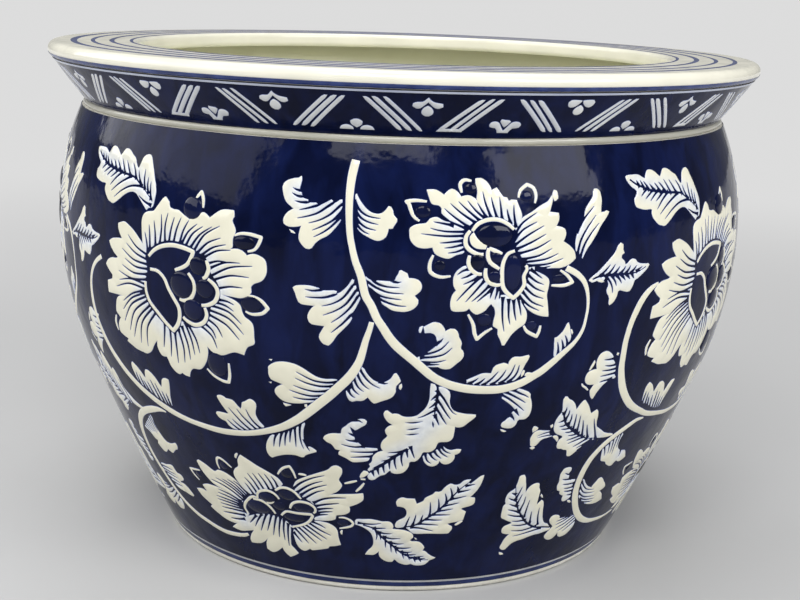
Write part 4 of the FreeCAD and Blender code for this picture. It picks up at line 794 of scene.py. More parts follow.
def triangles(flat, edges, plates, gaps):
    """The triangulation of flat points, kept inside a plate and outside every gap."""
    spots, _, cells, _, _, _ = geometry.delaunay_2d_cdt(flat, edges, [], 0, TOGETHER, False)
    place = np.array([tuple(spot) for spot in spots])
    corners = place[np.array(cells)]
    middles = corners.mean(1)
    one, two = corners[:, 1] - corners[:, 0], corners[:, 2] - corners[:, 0]
    turns = one[:, 0] * two[:, 1] - one[:, 1] * two[:, 0]
    kept = inside_any(middles, plates) & ~inside_any(middles, gaps) & (abs(turns) > SLIVER)
    return spots, [tuple(cells[i]) if turns[i] > 0 else tuple(cells[i])[::-1] for i in np.flatnonzero(kept)]


def inside_any(spots, loops):
    """Which spots lie inside one of the loops, however often a loop crosses itself."""
    result = np.zeros(len(spots), bool)
    for loop in loops:
        start = np.array(loop)
        end = np.roll(start, -1, 0)
        low, high = start.min(0), start.max(0)
        near = np.flatnonzero(((spots > low) & (spots < high)).all(1) & ~result)
        if not len(near):
            continue
        x, y = spots[near, 0, None], spots[near, 1, None]
        side = (end[:, 0] - start[:, 0]) * (y - start[:, 1]) - (x - start[:, 0]) * (end[:, 1] - start[:, 1])
        rising = (start[:, 1] <= y) & (end[:, 1] > y) & (side > 0)
        falling = (start[:, 1] > y) & (end[:, 1] <= y) & (side < 0)
        result[near] = (rising.sum(1) - falling.sum(1)) != 0
    return result


def border_edges(found):
    """Directed edges that have a triangle on one side only."""
    directed = set()
    for a, b, c in found:
        directed.update(((a, b), (b, c), (c, a)))
    return [(a, b) for a, b in directed if (b, a) not in directed]


AT_ONCE = 400


def distances(spots, edge_ends):
    """Distance of each spot from the nearest of the edges, worked out for some spots at once."""
    result = np.empty(len(spots))
    start, step = edge_ends[:, :2], edge_ends[:, 2:] - edge_ends[:, :2]
    square = np.maximum((step ** 2).sum(1), 1e-9)
    for low in range(0, len(spots), AT_ONCE):
        some = spots[low:low + AT_ONCE, None, :]
        part = np.clip(((some - start) * step).sum(2) / square, 0, 1)
        gap = some - start - part[..., None] * step
        result[low:low + AT_ONCE] = np.sqrt((gap ** 2).sum(2).min(1))
    return result


# How far in from the border the inner spots lie, how far apart those of the wide grid lie, and how near
# the border either may come
INSET, GRID = 0.42, 5.0
INSET_CLEAR, GRID_CLEAR = INSET * 0.85, 1.6
SHORTEST_EDGE = 0.05


def inner_spots(spots, border, edge_ends):
    """Spots a little way in from the border, and a wide grid further in."""
    tries = []
    for a, b in border:
        (x0, y0), (x1, y1) = spots[a], spots[b]
        length = math.hypot(x1 - x0, y1 - y0)
        if length < SHORTEST_EDGE:
            continue
        out = ((y0 - y1) / length, (x1 - x0) / length)
        tries.append(((x0 + x1) / 2 + out[0] * INSET, (y0 + y1) / 2 + out[1] * INSET))
    near = len(border)
    low, high = edge_ends.reshape(-1, 2).min(0), edge_ends.reshape(-1, 2).max(0)
    for i, x in enumerate(np.arange(low[0] + 1, high[0], GRID)):
        for y in np.arange(low[1] + 1 + (i % 2) * GRID / 2, high[1], GRID):
            tries.append((x, y))
    tries = np.array(tries)
    far = distances(tries, edge_ends)
    keep = [i for i in range(len(tries)) if far[i] > (INSET_CLEAR if i < near else GRID_CLEAR)]
    return [tuple(tries[i]) for i in keep]


# Raising the flat pattern on the pot

# A raised shape has a rounded top edge, a steep side that spreads outwards down to the glaze, and a flat
# back under it. These are the side's spread and the heights of the side's foot and of the back.
HALO = 0.34
SUNK = -0.07
BACK = -0.35
# Shares of the lift at the very edge, over the inset and over the way to the middle
EDGE_SHARE, INSET_SHARE, MIDDLE_SHARE = 0.42, 0.5, 0.08
MIDDLE_REACH = 2.5
# The whiteness noted at the top's edge. It is one at the inset and nought at the side's foot.
EDGE_WHITE = 0.82


class Relief:
    """A group of raised shapes on the pot that becomes one mesh."""

    def __init__(self, name):
        self.name = name
        self.corners, self.faces, self.edge, self.cool = [], [], [], []

    def put(self, x, y, height, white, cool):
        """Adds one corner with what the glaze has to know there."""
        self.corners.append(on_pot(x, y, height))
        self.edge.append(white)
        self.cool.append(cool)

    def add(self, shape, shifts, lift=PAINT_LIFT):
        """Raises a filled shape once at each shift of the pattern."""
        spots, found, border, far, cold = shape
        outs = self.outward(spots, border)
        ring = sorted(outs)
        place = {spot: i for i, spot in enumerate(ring)}
        used = sorted({corner for cell in found for corner in cell})
        top = {spot: i for i, spot in enumerate(used)}
        for across, up in shifts:
            start = len(self.corners)
            for spot in used:
                x, y = spots[spot]
                rise = min(far[spot] / INSET, 1.0)
                middle = min(far[spot] / MIDDLE_REACH, 1.0)
                height = lift * (EDGE_SHARE + INSET_SHARE * rise + MIDDLE_SHARE * middle)
                self.put(x + across, y + up, height, EDGE_WHITE + (1 - EDGE_WHITE) * rise, cold[spot])
            halo = len(self.corners)
            for spot in ring:
                x, y = spots[spot][0] + outs[spot][0] * HALO, spots[spot][1] + outs[spot][1] * HALO
                self.put(x + across, y + up, SUNK, 0.0, cold[spot])
            under = len(self.corners)
            for spot in used:
                x, y = spots[spot]
                if spot in outs:
                    x, y = x + outs[spot][0] * HALO, y + outs[spot][1] * HALO
                self.put(x + across, y + up, BACK, 0.0, cold[spot])
            for a, b, c in found:
                self.faces.append((start + top[a], start + top[b], start + top[c]))
                self.faces.append((under + top[a], under + top[c], under + top[b]))
            for a, b in border:
                self.faces.append((start + top[b], start + top[a], halo + place[a], halo + place[b]))
                self.faces.append((halo + place[b], halo + place[a], under + top[a], under + top[b]))

    @staticmethod
    def outward(spots, border):
        """The outward direction of each border spot."""
        sums = {}
        for a, b in border:
            (x0, y0), (x1, y1) = spots[a], spots[b]
            length = math.hypot(x1 - x0, y1 - y0) or 1.0
            out = ((y1 - y0) / length, (x0 - x1) / length)
            for spot in (a, b):
                old = sums.get(spot, (0.0, 0.0))
                sums[spot] = (old[0] + out[0], old[1] + out[1])
        result = {}
        for spot, (x, y) in sums.items():
            length = math.hypot(x, y)
            result[spot] = (x / length, y / length) if length > 1e-6 else (0.0, 0.0)
        return result

    def mesh(self):
        """The mesh of all the raised shapes."""
        mesh = bpy.data.meshes.new(self.name)
        mesh.from_pydata(self.corners, [], self.faces)
        mesh.update()
        mesh.attributes.new("edge", "FLOAT", "POINT").data.foreach_set("value", self.edge)
        mesh.attributes.new("cool", "FLOAT", "POINT").data.foreach_set("value", self.cool)
        mesh.polygons.foreach_set("use_smooth", [True] * len(mesh.polygons))
        return mesh


def placed(name, mesh, material):
    """An object for a finished mesh, riding on the pot."""
    piece = bpy.data.objects.new(name, mesh)
    bpy.context.scene.collection.objects.link(piece)
    mesh.materials.clear()
    mesh.materials.append(material)
    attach(piece, "root")
    return piece


# How far from a cut's open end the white turns from cool to warm
COOL_REACH = 9.0


def shape(plates, gaps=(), open_ends=()):
    """A filled shape with a measure of how near each spot is to the open ends of its cuts."""
    spots, found, border, far = filled(list(plates), list(gaps))
    flat = np.array([tuple(spot) for spot in spots])
    cold = np.zeros(len(flat))
    if len(open_ends):
        ends = np.array(open_ends)
        near = np.array([np.sqrt(((ends - spot) ** 2).sum(1).min()) for spot in flat])
        cold = np.clip(1 - near / COOL_REACH, 0, 1)
    return spots, found, border, far, cold


def flower(drawing, chance):
    """The petals of a flower with their cuts, and the fine lines round its heart and buds."""
    corner = drawing["corner"]
    petals = [curved(line) for line in lines(drawing["petals"], corner)]
    heart = [curved(line) for line in lines(drawing["heart"], corner)]
    gaps, ends = cuts(drawing["cuts"], corner, drawing["gap"], chance)
    body = shape(petals, heart + gaps, ends)
    strokes = []
    for line in lines(drawing["ribbons"], corner):
        strokes += brush(line, drawing["ribbon"], RIBBON_ENDS)
    for line in lines(drawing["crescents"], corner):
        strokes += brush(line, drawing["crescent"], CRESCENT_ENDS)
    if "plates" in drawing:
        strokes += [curved(line) for line in lines(drawing["plates"], corner)]
    return body, shape(strokes)


# A midrib's half width at its widest, its share at the thin end, and the part of its swelling that comes
# before its start
MIDRIB, MIDRIB_TIP, MIDRIB_START = 0.8, 0.45, 0.12


def leaf(drawing, chance, width, notched):
    """A leaf with the cuts between its ribs and its dark midrib."""
    corner, outline, marks, midrib = drawing
    gaps, ends = cuts(marks, corner, width, chance, notched)
    if midrib:
        for line in lines(midrib, corner):
            run = curved(line, False, CUT_SPACING)
            parts = [min(i / (len(run) - 1) + MIDRIB_START, 1.0) for i in range(len(run))]
            swells = [math.sin(math.pi * part) for part in parts]
            gaps.append(band(run, [MIDRIB * (MIDRIB_TIP + (1 - MIDRIB_TIP) * swell) for swell in swells]))
    return shape([curved(line) for line in lines(outline, corner)], gaps, ends)


def places(name, kind):
    """Where a motif stands in the first or the second kind of repeat.

    It stands nowhere in a kind that has another drawing of it.
    """
    if name.endswith("_right"):
        return [(-REPEAT, 0.0)] if kind else []
    if kind and (name + "_right" in LEAVES or name + "_right" in VINES):
        return []
    return [SECOND_SHIFTS.get(name, (0.0, 0.0)) if kind else (0.0, 0.0)]


def both_kinds(name, shapes):
    """The meshes of the two kinds of repeat, each with its own places for the same shapes."""
    meshes = []
    for kind in (0, 1):
        relief = Relief(f"{name}_{kind}")
        for motif, drawn in shapes:
            relief.add(drawn, places(motif, kind))
        meshes.append(relief.mesh())
    return meshes


def make_scroll():
    """All the white scrollwork of the wall."""
    chance = random.Random(7)
    for name, drawing in FLOWERS:
        body, strokes = flower(drawing, chance)
        meshes = both_kinds(name, [(name, body), (name, strokes)])
        round_the_pot(name, meshes, REPEATS, WHITE)
    names = list(LEAVES)
    half = len(names) // 2
    for part, group in (("leaves_upper", names[:half]), ("leaves_lower", names[half:])):
        shapes = []
        for name in group:
            shapes.append((name, leaf(LEAVES[name], chance, FINE.get(name, CUT_WIDTH), name in NOTCHED)))
        round_the_pot(part, both_kinds(part, shapes), REPEATS, WHITE)
    shapes = [(name, shape([stem(points(text))])) for name, text in VINES.items()]
    round_the_pot("stems", both_kinds("stems", shapes), REPEATS, WHITE)


DOME_RINGS, DOME_SIDES = 5, 22
# A dome's height, and what is added for each millimetre of its narrower half width
DOME_HEIGHT, DOME_SLOPE = 0.25, 0.14


def dome(corners, faces, x, y, wide, tall):
    """Adds one low closed dome to the pot's wall."""
    high = DOME_HEIGHT + DOME_SLOPE * min(wide, tall)
    start = len(corners)
    for ring in range(DOME_RINGS):
        tilt = math.pi / 2 * ring / (DOME_RINGS - 0.5)
        for i in range(DOME_SIDES):
            turn = 2 * math.pi * i / DOME_SIDES
            dx, dy = wide * math.cos(tilt) * math.cos(turn), tall * math.cos(tilt) * math.sin(turn)
            corners.append(on_pot(x + dx, y + dy, SUNK + high * math.sin(tilt)))
    corners.append(on_pot(x, y, SUNK + high))
    corners.append(on_pot(x, y, BACK))
    peak, root = len(corners) - 2, len(corners) - 1
    last = start + (DOME_RINGS - 1) * DOME_SIDES
    for i in range(DOME_SIDES):
        j = (i + 1) % DOME_SIDES
        for low in range(start, last, DOME_SIDES):
            faces.append((low + i, low + j, low + DOME_SIDES + j, low + DOME_SIDES + i))
        faces.append((last + i, last + j, peak))
        faces.append((start + j, start + i, root))


def make_berries():
    """Dark glassy domes in the hearts of the flowers and in the buds."""
    meshes = []
    for kind in (0, 1):
        corners, faces = [], []
        for name, drawing in FLOWERS:
            across, up = places(name, kind)[0]
            for word in drawing["berries"].split():
                x, y, wide, tall = point(word, drawing["corner"])
                dome(corners, faces, x + across, y + up, wide, tall)
        mesh = bpy.data.meshes.new(f"berries_{kind}")
        mesh.from_pydata(corners, [], faces)
        mesh.polygons.foreach_set("use_smooth", [True] * len(mesh.polygons))
        meshes.append(mesh)
    round_the_pot("berries", meshes, REPEATS, BERRY)


# Geometry nodes: what repeats round the pot, and what is turned on its axis

def new_node(tree, kind, inputs, settings):
    """A node of a tree with its settings made and its inputs linked or set."""
    made = tree.nodes.new(kind)
    for key, value in settings.items():
        setattr(made, key, value)
    for key, value in inputs.items():
        if isinstance(value, bpy.types.NodeSocket):
            tree.links.new(value, made.inputs[key])
        else:
            made.inputs[key].default_value = value
    return made


class Tree:
    """A geometry node tree with named inputs."""

    def __init__(self, name, inputs):
        self.group = bpy.data.node_groups.new(name, "GeometryNodeTree")
        self.group.interface.new_socket("Geometry", in_out="INPUT", socket_type="NodeSocketGeometry")
        for label, kind in inputs:
            self.group.interface.new_socket(label, in_out="INPUT", socket_type="NodeSocket" + kind)
        self.group.interface.new_socket("Geometry", in_out="OUTPUT", socket_type="NodeSocketGeometry")
        self.given = self.node("NodeGroupInput").outputs
        self.result = self.node("NodeGroupOutput").inputs

    def node(self, kind, inputs=None, **settings):
        """One more node of the tree."""
        return new_node(self.group, kind, inputs or {}, settings)

    def math(self, operation, *values):
        """The result of a sum with the given values."""
        return self.node("ShaderNodeMath", dict(enumerate(values)), operation=operation).outputs[0]

    def end(self, geometry):
        """The finished tree, which makes everything solid and glazes it."""
        solid = self.node("GeometryNodeRealizeInstances", {"Geometry": geometry}).outputs[0]
        glazed = self.node("GeometryNodeSetMaterial", {"Geometry": solid, "Material": self.given["Glaze"]})
        self.group.links.new(glazed.outputs[0], self.result[0])
        return self.group


def repeating_tree():
    """Sets the kinds of repeat in turn round the upright axis."""
    tree = Tree("round the pot", [
        ("Count", "Int"), ("Kinds", "Int"), ("Motifs", "Collection"), ("Turn", "Float"),
        ("Wander", "Float"), ("Seed", "Int"), ("Glaze", "Material")])
    given = tree.given
    spots = tree.node("GeometryNodeMeshLine", {"Count": given["Count"], "Offset": (0.0, 0.0, 0.0)})
    index = tree.node("GeometryNodeInputIndex").outputs[0]
    step = tree.math("DIVIDE", 2 * math.pi, given["Count"])
    back = tree.math("MULTIPLY", given["Wander"], -1.0)
    limits = {2: back, 3: given["Wander"], "Seed": given["Seed"]}
    wander = tree.node("FunctionNodeRandomValue", limits, data_type="FLOAT")
    first = tree.math("ADD", given["Turn"], wander.outputs[1])
    turn = tree.math("ADD", tree.math("MULTIPLY", index, step), first)
    rotation = tree.node("ShaderNodeCombineXYZ", {"Z": turn})
    motifs = tree.node("GeometryNodeCollectionInfo", {
        "Collection": given["Motifs"], "Separate Children": True, "Reset Children": True})
    kind = tree.math("MODULO", index, given["Kinds"])
    set_round = tree.node("GeometryNodeInstanceOnPoints", {
        "Points": spots.outputs[0], "Instance": motifs.outputs[0], "Pick Instance": True,
        "Instance Index": kind, "Rotation": rotation.outputs[0]})
    return tree.end(set_round.outputs[0])


# Corners nearer together than this, in metres, are joined where the turned grid closes
JOIN_DISTANCE = 0.00001


def turning_tree():
    """Turns a closed outline of radius and height round the upright axis.

    Each corner of the result keeps its place in the outline.
    """
    tree = Tree("turned outline", [("Steps", "Int"), ("Turns", "Int"), ("Glaze", "Material")])
    given = tree.given
    rows, columns = tree.math("ADD", given["Turns"], 1.0), tree.math("ADD", given["Steps"], 1.0)
    grid = tree.node("GeometryNodeMeshGrid", {"Size X": 1.0, "Size Y": 1.0, "Vertices X": rows,
                                              "Vertices Y": columns}).outputs[0]
    position = tree.node("GeometryNodeInputPosition").outputs[0]
    spot = tree.node("ShaderNodeSeparateXYZ", {0: position}).outputs
    angle = tree.math("MULTIPLY", tree.math("ADD", spot[0], 0.5), 2 * math.pi)
    place = tree.math("ROUND", tree.math("MULTIPLY", tree.math("ADD", spot[1], 0.5), given["Steps"]))
    place = tree.math("MODULO", place, given["Steps"])
    noted = tree.node("GeometryNodeStoreNamedAttribute", {"Geometry": grid, "Name": "place", "Value": place},
                      data_type="INT", domain="POINT").outputs[0]
    saved = tree.node("GeometryNodeInputNamedAttribute", {"Name": "place"}, data_type="INT").outputs[0]
    wanted = {"Geometry": given["Geometry"], "Index": saved, "Value": position}
    sample = tree.node("GeometryNodeSampleIndex", wanted, data_type="FLOAT_VECTOR", domain="POINT").outputs[0]
    line = tree.node("ShaderNodeSeparateXYZ", {0: sample}).outputs
    across = tree.math("MULTIPLY", line[0], tree.math("SINE", angle))
    back = tree.math("MULTIPLY", tree.math("MULTIPLY", line[0], -1.0), tree.math("COSINE", angle))
    spots = tree.node("ShaderNodeCombineXYZ", {"X": across, "Y": back, "Z": line[2]}).outputs[0]
    turned_grid = tree.node("GeometryNodeSetPosition", {"Geometry": noted, "Position": spots}).outputs[0]
    joined = tree.node("GeometryNodeMergeByDistance", {"Geometry": turned_grid, "Distance": JOIN_DISTANCE})
    return tree.end(joined.outputs[0])


TREES = {}


def grown(name, mesh, make_tree, values):
    """The plain mesh that a node tree makes from another mesh."""
    if make_tree not in TREES:
        TREES[make_tree] = make_tree()
    group = TREES[make_tree]
    host = bpy.data.objects.new(name + "_host", mesh)
    bpy.context.scene.collection.objects.link(host)
    modifier = host.modifiers.new("Nodes", "NODES")
    modifier.node_group = group
    for item in group.interface.items_tree:
        if item.in_out == "INPUT" and item.name in values:
            modifier[item.identifier] = values[item.name]
    graph = bpy.context.evaluated_depsgraph_get()
    finished = host.evaluated_get(graph)
    result = bpy.data.meshes.new_from_object(finished, preserve_all_data_layers=True, depsgraph=graph)
    host.modifiers.remove(modifier)
    bpy.data.objects.remove(host)
    result.name = name
    return result


WANDER_SEED = 3


def round_the_pot(name, meshes, count, material, turn=0.0, wander=0.0):
    """One piece of the given meshes set in turn round the pot's axis."""
    motifs = bpy.data.collections.new(name + "_motifs")
    bpy.context.scene.collection.children.link(motifs)
    for i, mesh in enumerate(meshes):
        motifs.objects.link(bpy.data.objects.new(f"{name}_motif_{i}", mesh))
    values = {"Count": count, "Kinds": len(meshes), "Motifs": motifs, "Turn": turn, "Wander": wander,
              "Seed": WANDER_SEED, "Glaze": material}
    result = grown(name, bpy.data.meshes.new(name + "_start"), repeating_tree, values)
    for motif in list(motifs.objects):
        bpy.data.objects.remove(motif)
    bpy.data.collections.remove(motifs)
    placed(name, result, material)


# Turned pieces

TURNS = 384
# Faces that meet at less than this angle in radians are shaded as one
SMOOTH_ANGLE = 0.5


def turned(name, outline, material, node=None, uneven=None):
    """A ring turned from a closed outline of radius and height, which may stand for a frame node."""
    line = bpy.data.meshes.new(name + "_outline")
    count = len(outline)
    line.from_pydata([(radius * MM, 0.0, height * MM) for radius, height in outline],
                     [(k, (k + 1) % count) for k in range(count)], [])
    mesh = grown(name, line, turning_tree, {"Steps": count, "Turns": TURNS, "Glaze": material})
    if uneven:
        for vertex, note in zip(mesh.vertices, mesh.attributes["place"].data):
            x, y = vertex.co.x, vertex.co.y
            angle = math.atan2(x, -y)
            longer = 1 + uneven(angle, note.value) * MM / math.hypot(x, y)
            vertex.co.x, vertex.co.y = x * longer, y * longer
    mesh.attributes.remove(mesh.attributes["place"])
    work = bmesh.new()
    work.from_mesh(mesh)
    bmesh.ops.recalc_face_normals(work, faces=work.faces)
    for edge in work.edges:
        edge.smooth = len(edge.link_faces) < 2 or edge.calc_face_angle(0.0) < SMOOTH_ANGLE
    for face in work.faces:
        face.smooth = True
    work.to_mesh(mesh)
    work.free()
    piece = placed(name, mesh, material)
    if node:
        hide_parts(node)


def closed_layer(line, outside, inside):
    """The outline between two copies of a line of radius and height."""
    return [(r + outside, z) for r, z in line] + [(r + inside, z) for r, z in reversed(line)]


def divided(line, step):
    """A line with points added so that none is further than a step from the next."""
    result = []
    for a, b in zip(line, line[1:]):
        pieces = max(1, math.ceil(math.dist(a, b) / step))
        for i in range(pieces):
            result.append((a[0] + (b[0] - a[0]) * i / pieces, a[1] + (b[1] - a[1]) * i / pieces))
    return result + [line[-1]]


# The furthest that points lie apart on the wall's foot and the rim, on the neck and on the floor
WALL_STEP, NECK_STEP, FLOOR_STEP = 3.0, 2.5, 6.0
# Radii of the rim's inner edge, above and below
EDGE_ABOVE, EDGE_BELOW = 2.5, 3.0
# The rim's half thickness, which is also the radius of its outer edge, and the middle of that round
NOSE_RADIUS = (RIM_TOP - NECK_HEIGHT) / 2
NOSE = (RIM - NOSE_RADIUS, (NECK_HEIGHT + RIM_TOP) / 2)


def make_pot():
    """The coats and the turned pieces of the pot."""
    outside = divided([(FOOT_TOP, FOOT_HEIGHT), (BASE_TOP, BASE_HEIGHT)], WALL_STEP)[:-1] + wall_line(0.0)
    turned("wall_glaze", closed_layer(outside, COAT, 0.0), COBALT, "body_glaze")

    sole, side = (FOOT_SOLE, 0.0), (FOOT_LINE, FOOT_ROUND_HEIGHT)
    round_middle = level_arc(sole, side, FOOT_ROUND_HEIGHT)
    foot = [(FOOT_INNER, 0.0), sole] + arc_points(sole, side, round_middle, FOOT_POINTS)[1:]
    foot += [(FOOT_TOP, FOOT_HEIGHT), (FOOT_INNER, FOOT_HEIGHT)]
    turned("foot", foot, FOOT_WHITE, "foot_ring")

    bead_middle = (SHOULDER_HEIGHT + BEAD_HEIGHT) / 2
    under, over = (NECK_FOOT, SHOULDER_HEIGHT), (NECK_FOOT, BEAD_HEIGHT)
    swell = (NECK_FOOT + BEAD_SWELL, bead_middle)
    middle = level_arc(under, swell, bead_middle)
    bead = arc_points(under, swell, middle, BEAD_POINTS) + arc_points(swell, over, middle, BEAD_POINTS)[1:]
    bead += [(NECK_FOOT - BEAD_SEAT, BEAD_HEIGHT), (NECK_FOOT - BEAD_SEAT, SHOULDER_HEIGHT)]
    # The bead's glaze colour is darkened as painted shade.
    turned("bead", bead, SHADED_IVORY, "neck_bead")

    neck = divided([(NECK_FOOT, BEAD_HEIGHT), (NECK_TOP, NECK_HEIGHT)], NECK_STEP)
    turned("neck_ground", closed_layer(neck, COAT, 0.0), COBALT, "neck_glaze")

    rim = arc_points((NOSE[0], NECK_HEIGHT), (RIM, NOSE[1]), NOSE, NOSE_POINTS)
    rim += arc_points((RIM, NOSE[1]), (NOSE[0], RIM_TOP), NOSE, NOSE_POINTS)[1:]
    edge, high = RIM_OPENING + EDGE_ABOVE, RIM_TOP - EDGE_ABOVE
    rim += divided([(NOSE[0], RIM_TOP), (edge, RIM_TOP)], WALL_STEP)[1:]
    rim += arc_points((edge, RIM_TOP), (RIM_OPENING, high), (edge, high), EDGE_POINTS)[1:]
    edge, low = RIM_OPENING + EDGE_BELOW, NECK_HEIGHT + EDGE_BELOW
    rim += arc_points((RIM_OPENING, low), (edge, NECK_HEIGHT), (edge, low), EDGE_POINTS)
    turned("rim", rim, RIM_WHITE, "rim_flange")

    inner = wall_line(-WALL)
    inner += [(NECK_FOOT - WALL, BEAD_HEIGHT), (NECK_TOP - WALL, NECK_HEIGHT)]
    room = [(r - COAT, z) for r, z in reversed(inner)]
    room[-1] = (room[-1][0], BASE_HEIGHT + COAT)
    floor = divided([room[-1], (DRAIN, BASE_HEIGHT + COAT)], FLOOR_STEP)[1:] + [(DRAIN, BASE_HEIGHT)]
    turned("inner_wall_glaze", inner + room + floor, CELADON, "inner_glaze")


# How many waves each part of a painted line's unevenness has round the pot
WAVE_COUNTS = (2, 3, 5, 8, 13, 21)


def waver(chance, size):
    """A slow unevenness round the pot, as a hand-guided brush leaves it."""
    waves = []
    for count in WAVE_COUNTS:
        waves.append((count, chance.uniform(0, 6.28), chance.uniform(0.4, 1.0) / count ** 0.5))
    total = sum(wave[2] for wave in waves)
    return lambda angle: size * sum(w * math.sin(n * angle + p) for n, p, w in waves) / total


# Painted lines lie a little proud of what carries them and are sunk a little into it
LINE_PROUD, LINE_SUNK = 0.2, -0.1
# The middle of the rim's outermost line, the way to each next one, their unevenness and their half widths
RIM_LINE, RIM_LINE_STEP, RIM_LINE_WAVER = 186.1, 10.4, 0.9
RIM_LINE_HALVES = (1.5, 1.3, 1.35, 1.0)
# How high the rim's lines are sunk, stand at their sides and in their middle, and how wide their slopes are
RIM_LINE_FOOT, RIM_LINE_SIDE, RIM_LINE_TOP, RIM_LINE_SLOPE = -0.1, 0.05, 0.16, 0.5
# Heights of the other lines, from the neck's top for the lip's and from the floor for the rest
LIP_LINE = (0.5, 2.6)
NECK_EDGE_LINE = (267.7, 268.7)
FOOT_BLUE_LINE, FOOT_WHITE_LINE = (3.6, 6.5), (6.5, 7.7)


def painted_ring(name, line, material, node):
    """A thin painted line that follows a line of radius and height."""
    turned(name, closed_layer(line, LINE_PROUD, LINE_SUNK), material, node)


def on_slope(low, high, heights):
    """Points at the given heights on the straight slope through two points."""
    rate = (high[0] - low[0]) / (high[1] - low[1])
    return [(low[0] + (z - low[1]) * rate, z) for z in heights]


def make_painted_lines():
    """The painted rings of the rim, the neck and the foot."""
    chance = random.Random(11)
    for i, half in enumerate(RIM_LINE_HALVES):
        middle = RIM_LINE - RIM_LINE_STEP * i
        outer, inner = waver(chance, RIM_LINE_WAVER), waver(chance, RIM_LINE_WAVER)
        low, side, high = RIM_TOP + RIM_LINE_FOOT, RIM_TOP + RIM_LINE_SIDE, RIM_TOP + RIM_LINE_TOP
        outline = [(middle - half, low), (middle + half, low), (middle + half, side),
                   (middle + half - RIM_LINE_SLOPE, high), (middle - half + RIM_LINE_SLOPE, high),
                   (middle - half, side)]
        outer_side = (1, 2, 3)
        turned(f"rim_line_{i + 1}", outline, BLUE_LINE, "rim_lines" if i == 0 else None,
               uneven=lambda angle, k: outer(angle) if k in outer_side else inner(angle))

    def at(height):
        return NOSE[0] + math.sqrt(NOSE_RADIUS ** 2 - (NOSE[1] - height) ** 2), height

    line = arc_points(at(NECK_HEIGHT + LIP_LINE[0]), at(NECK_HEIGHT + LIP_LINE[1]), NOSE, LIP_POINTS)
    painted_ring("lip_blue", line, BLUE_LINE, "lip_line")
    line = on_slope((NECK_FOOT + COAT, BEAD_HEIGHT), (NECK_TOP + COAT, NECK_HEIGHT), NECK_EDGE_LINE)
    painted_ring("neck_edge_line", line, PALE_LINE, "neck_line")
    foot = (FOOT_LINE, FOOT_ROUND_HEIGHT), (FOOT_TOP, FOOT_HEIGHT)
    line = on_slope(*foot, FOOT_BLUE_LINE)
    painted_ring("foot_blue_band", line, FOOT_BLUE, "foot_blue_line")
    line = on_slope(*foot, FOOT_WHITE_LINE)
    painted_ring("foot_white_band", line, FOOT_GREY, "foot_white_line")


# The neck's trellis: slanting triple bars with a three-petalled flower in each gap

HANGING = """-6.5,272.5 -6.2,274 -4.5,274.8 -2.2,275 -.6,276.8 0,277.6 .5,276.6 2.2,275 4.5,274.3
6.2,274 6.4,272.3 5,271.3 3.2,271.5 1.2,273.5 0,275 -1.2,273.5 -3.2,271.3 -5,271.2
/ 0,272.6 1.4,271.6 2.4,269.6 2.2,267.8 .7,266.5 -.7,266.5 -2.2,267.8 -2.4,269.6 -1.4,271.6"""
HANGING_PAIR = """-6.5,276 -5.5,277.2 -2,277.2 -.3,276.9 -.8,275.5 -2.5,273.5 -4.5,272.8 -6,273.8
/ 6.5,276 5.5,277.2 2,277.2 .3,276.9 .8,275.5 2.5,273.5 4.5,272.8 6,273.8
/ 0,274 1.5,272.8 2.4,271 2,269.2 .6,268.2 -.6,268.2 -2,269.2 -2.4,271 -1.5,272.8"""
STANDING = """-7,261.8 -6.5,263.3 -4.8,263.9 -3,263.2 -1.8,261.2 -.8,259.3 0,258.2 .8,259.3 1.8,261.2
3,263.2 4.8,263.9 6.8,263.3 7.6,261.8 7,260.3 5.5,260 4,259.8 3,258.5 2.5,257 -2.5,257 -3,258.5 -4,260
-5.5,260.2 -6.7,260.7
/ 0,260.5 -1.3,262.3 -2.3,264 -2,265.3 -.5,264.9 1.5,264.7 2.4,264 1.5,262.3"""
STANDING_HALVES = """-7.8,257 -7,258.7 -5,259.6 -3,259.2 -1.8,258 -1.6,257
/ 7.8,257 7,258.7 5,259.6 3,259.2 1.8,258 1.6,257
/ 0,258.2 -2.3,260 -2.6,262 -1,263.2 1,263.2 2.6,262 2.3,260"""
TRELLIS_KINDS = 6
# How far a hanging flower drifts to either side
FLOWER_DRIFT = 1.2
# The first hanging flower's middle, and the way from it to the next standing one
FLOWER_PLACE, FLOWER_STEP = 11.5, 33.4
# Feet and heads of the three rising and the three falling bars, from the hanging flower's middle
RISING = ((5, 22.5), (9.5, 26.2), (14, 30.4))
FALLING = ((54.6, 39), (58.6, 42.6), (63, 47))
BAR_FOOT, BAR_HEAD, BAR_STEPS = 257.4, 277.2, 14
# A bar's half width may vary between these and narrows to a share at its ends, which drift to either side
BAR_THIN, BAR_WIDE, BAR_END, BAR_DRIFT = 0.78, 1.0, 0.9, 0.4
# The short bar that some kinds have along the foot, from the place of its low left corner
LOW_BAR, LOW_BAR_TOP = 257.2, 258.9
LOW_BAR_CORNERS = ((0, LOW_BAR), (11.5, LOW_BAR), (12, LOW_BAR_TOP), (1.4, LOW_BAR_TOP))
# How many repeats before the front the first one stands, and how unevenly they are set, in radians
TRELLIS_BEFORE, TRELLIS_WANDER = 8, 0.001


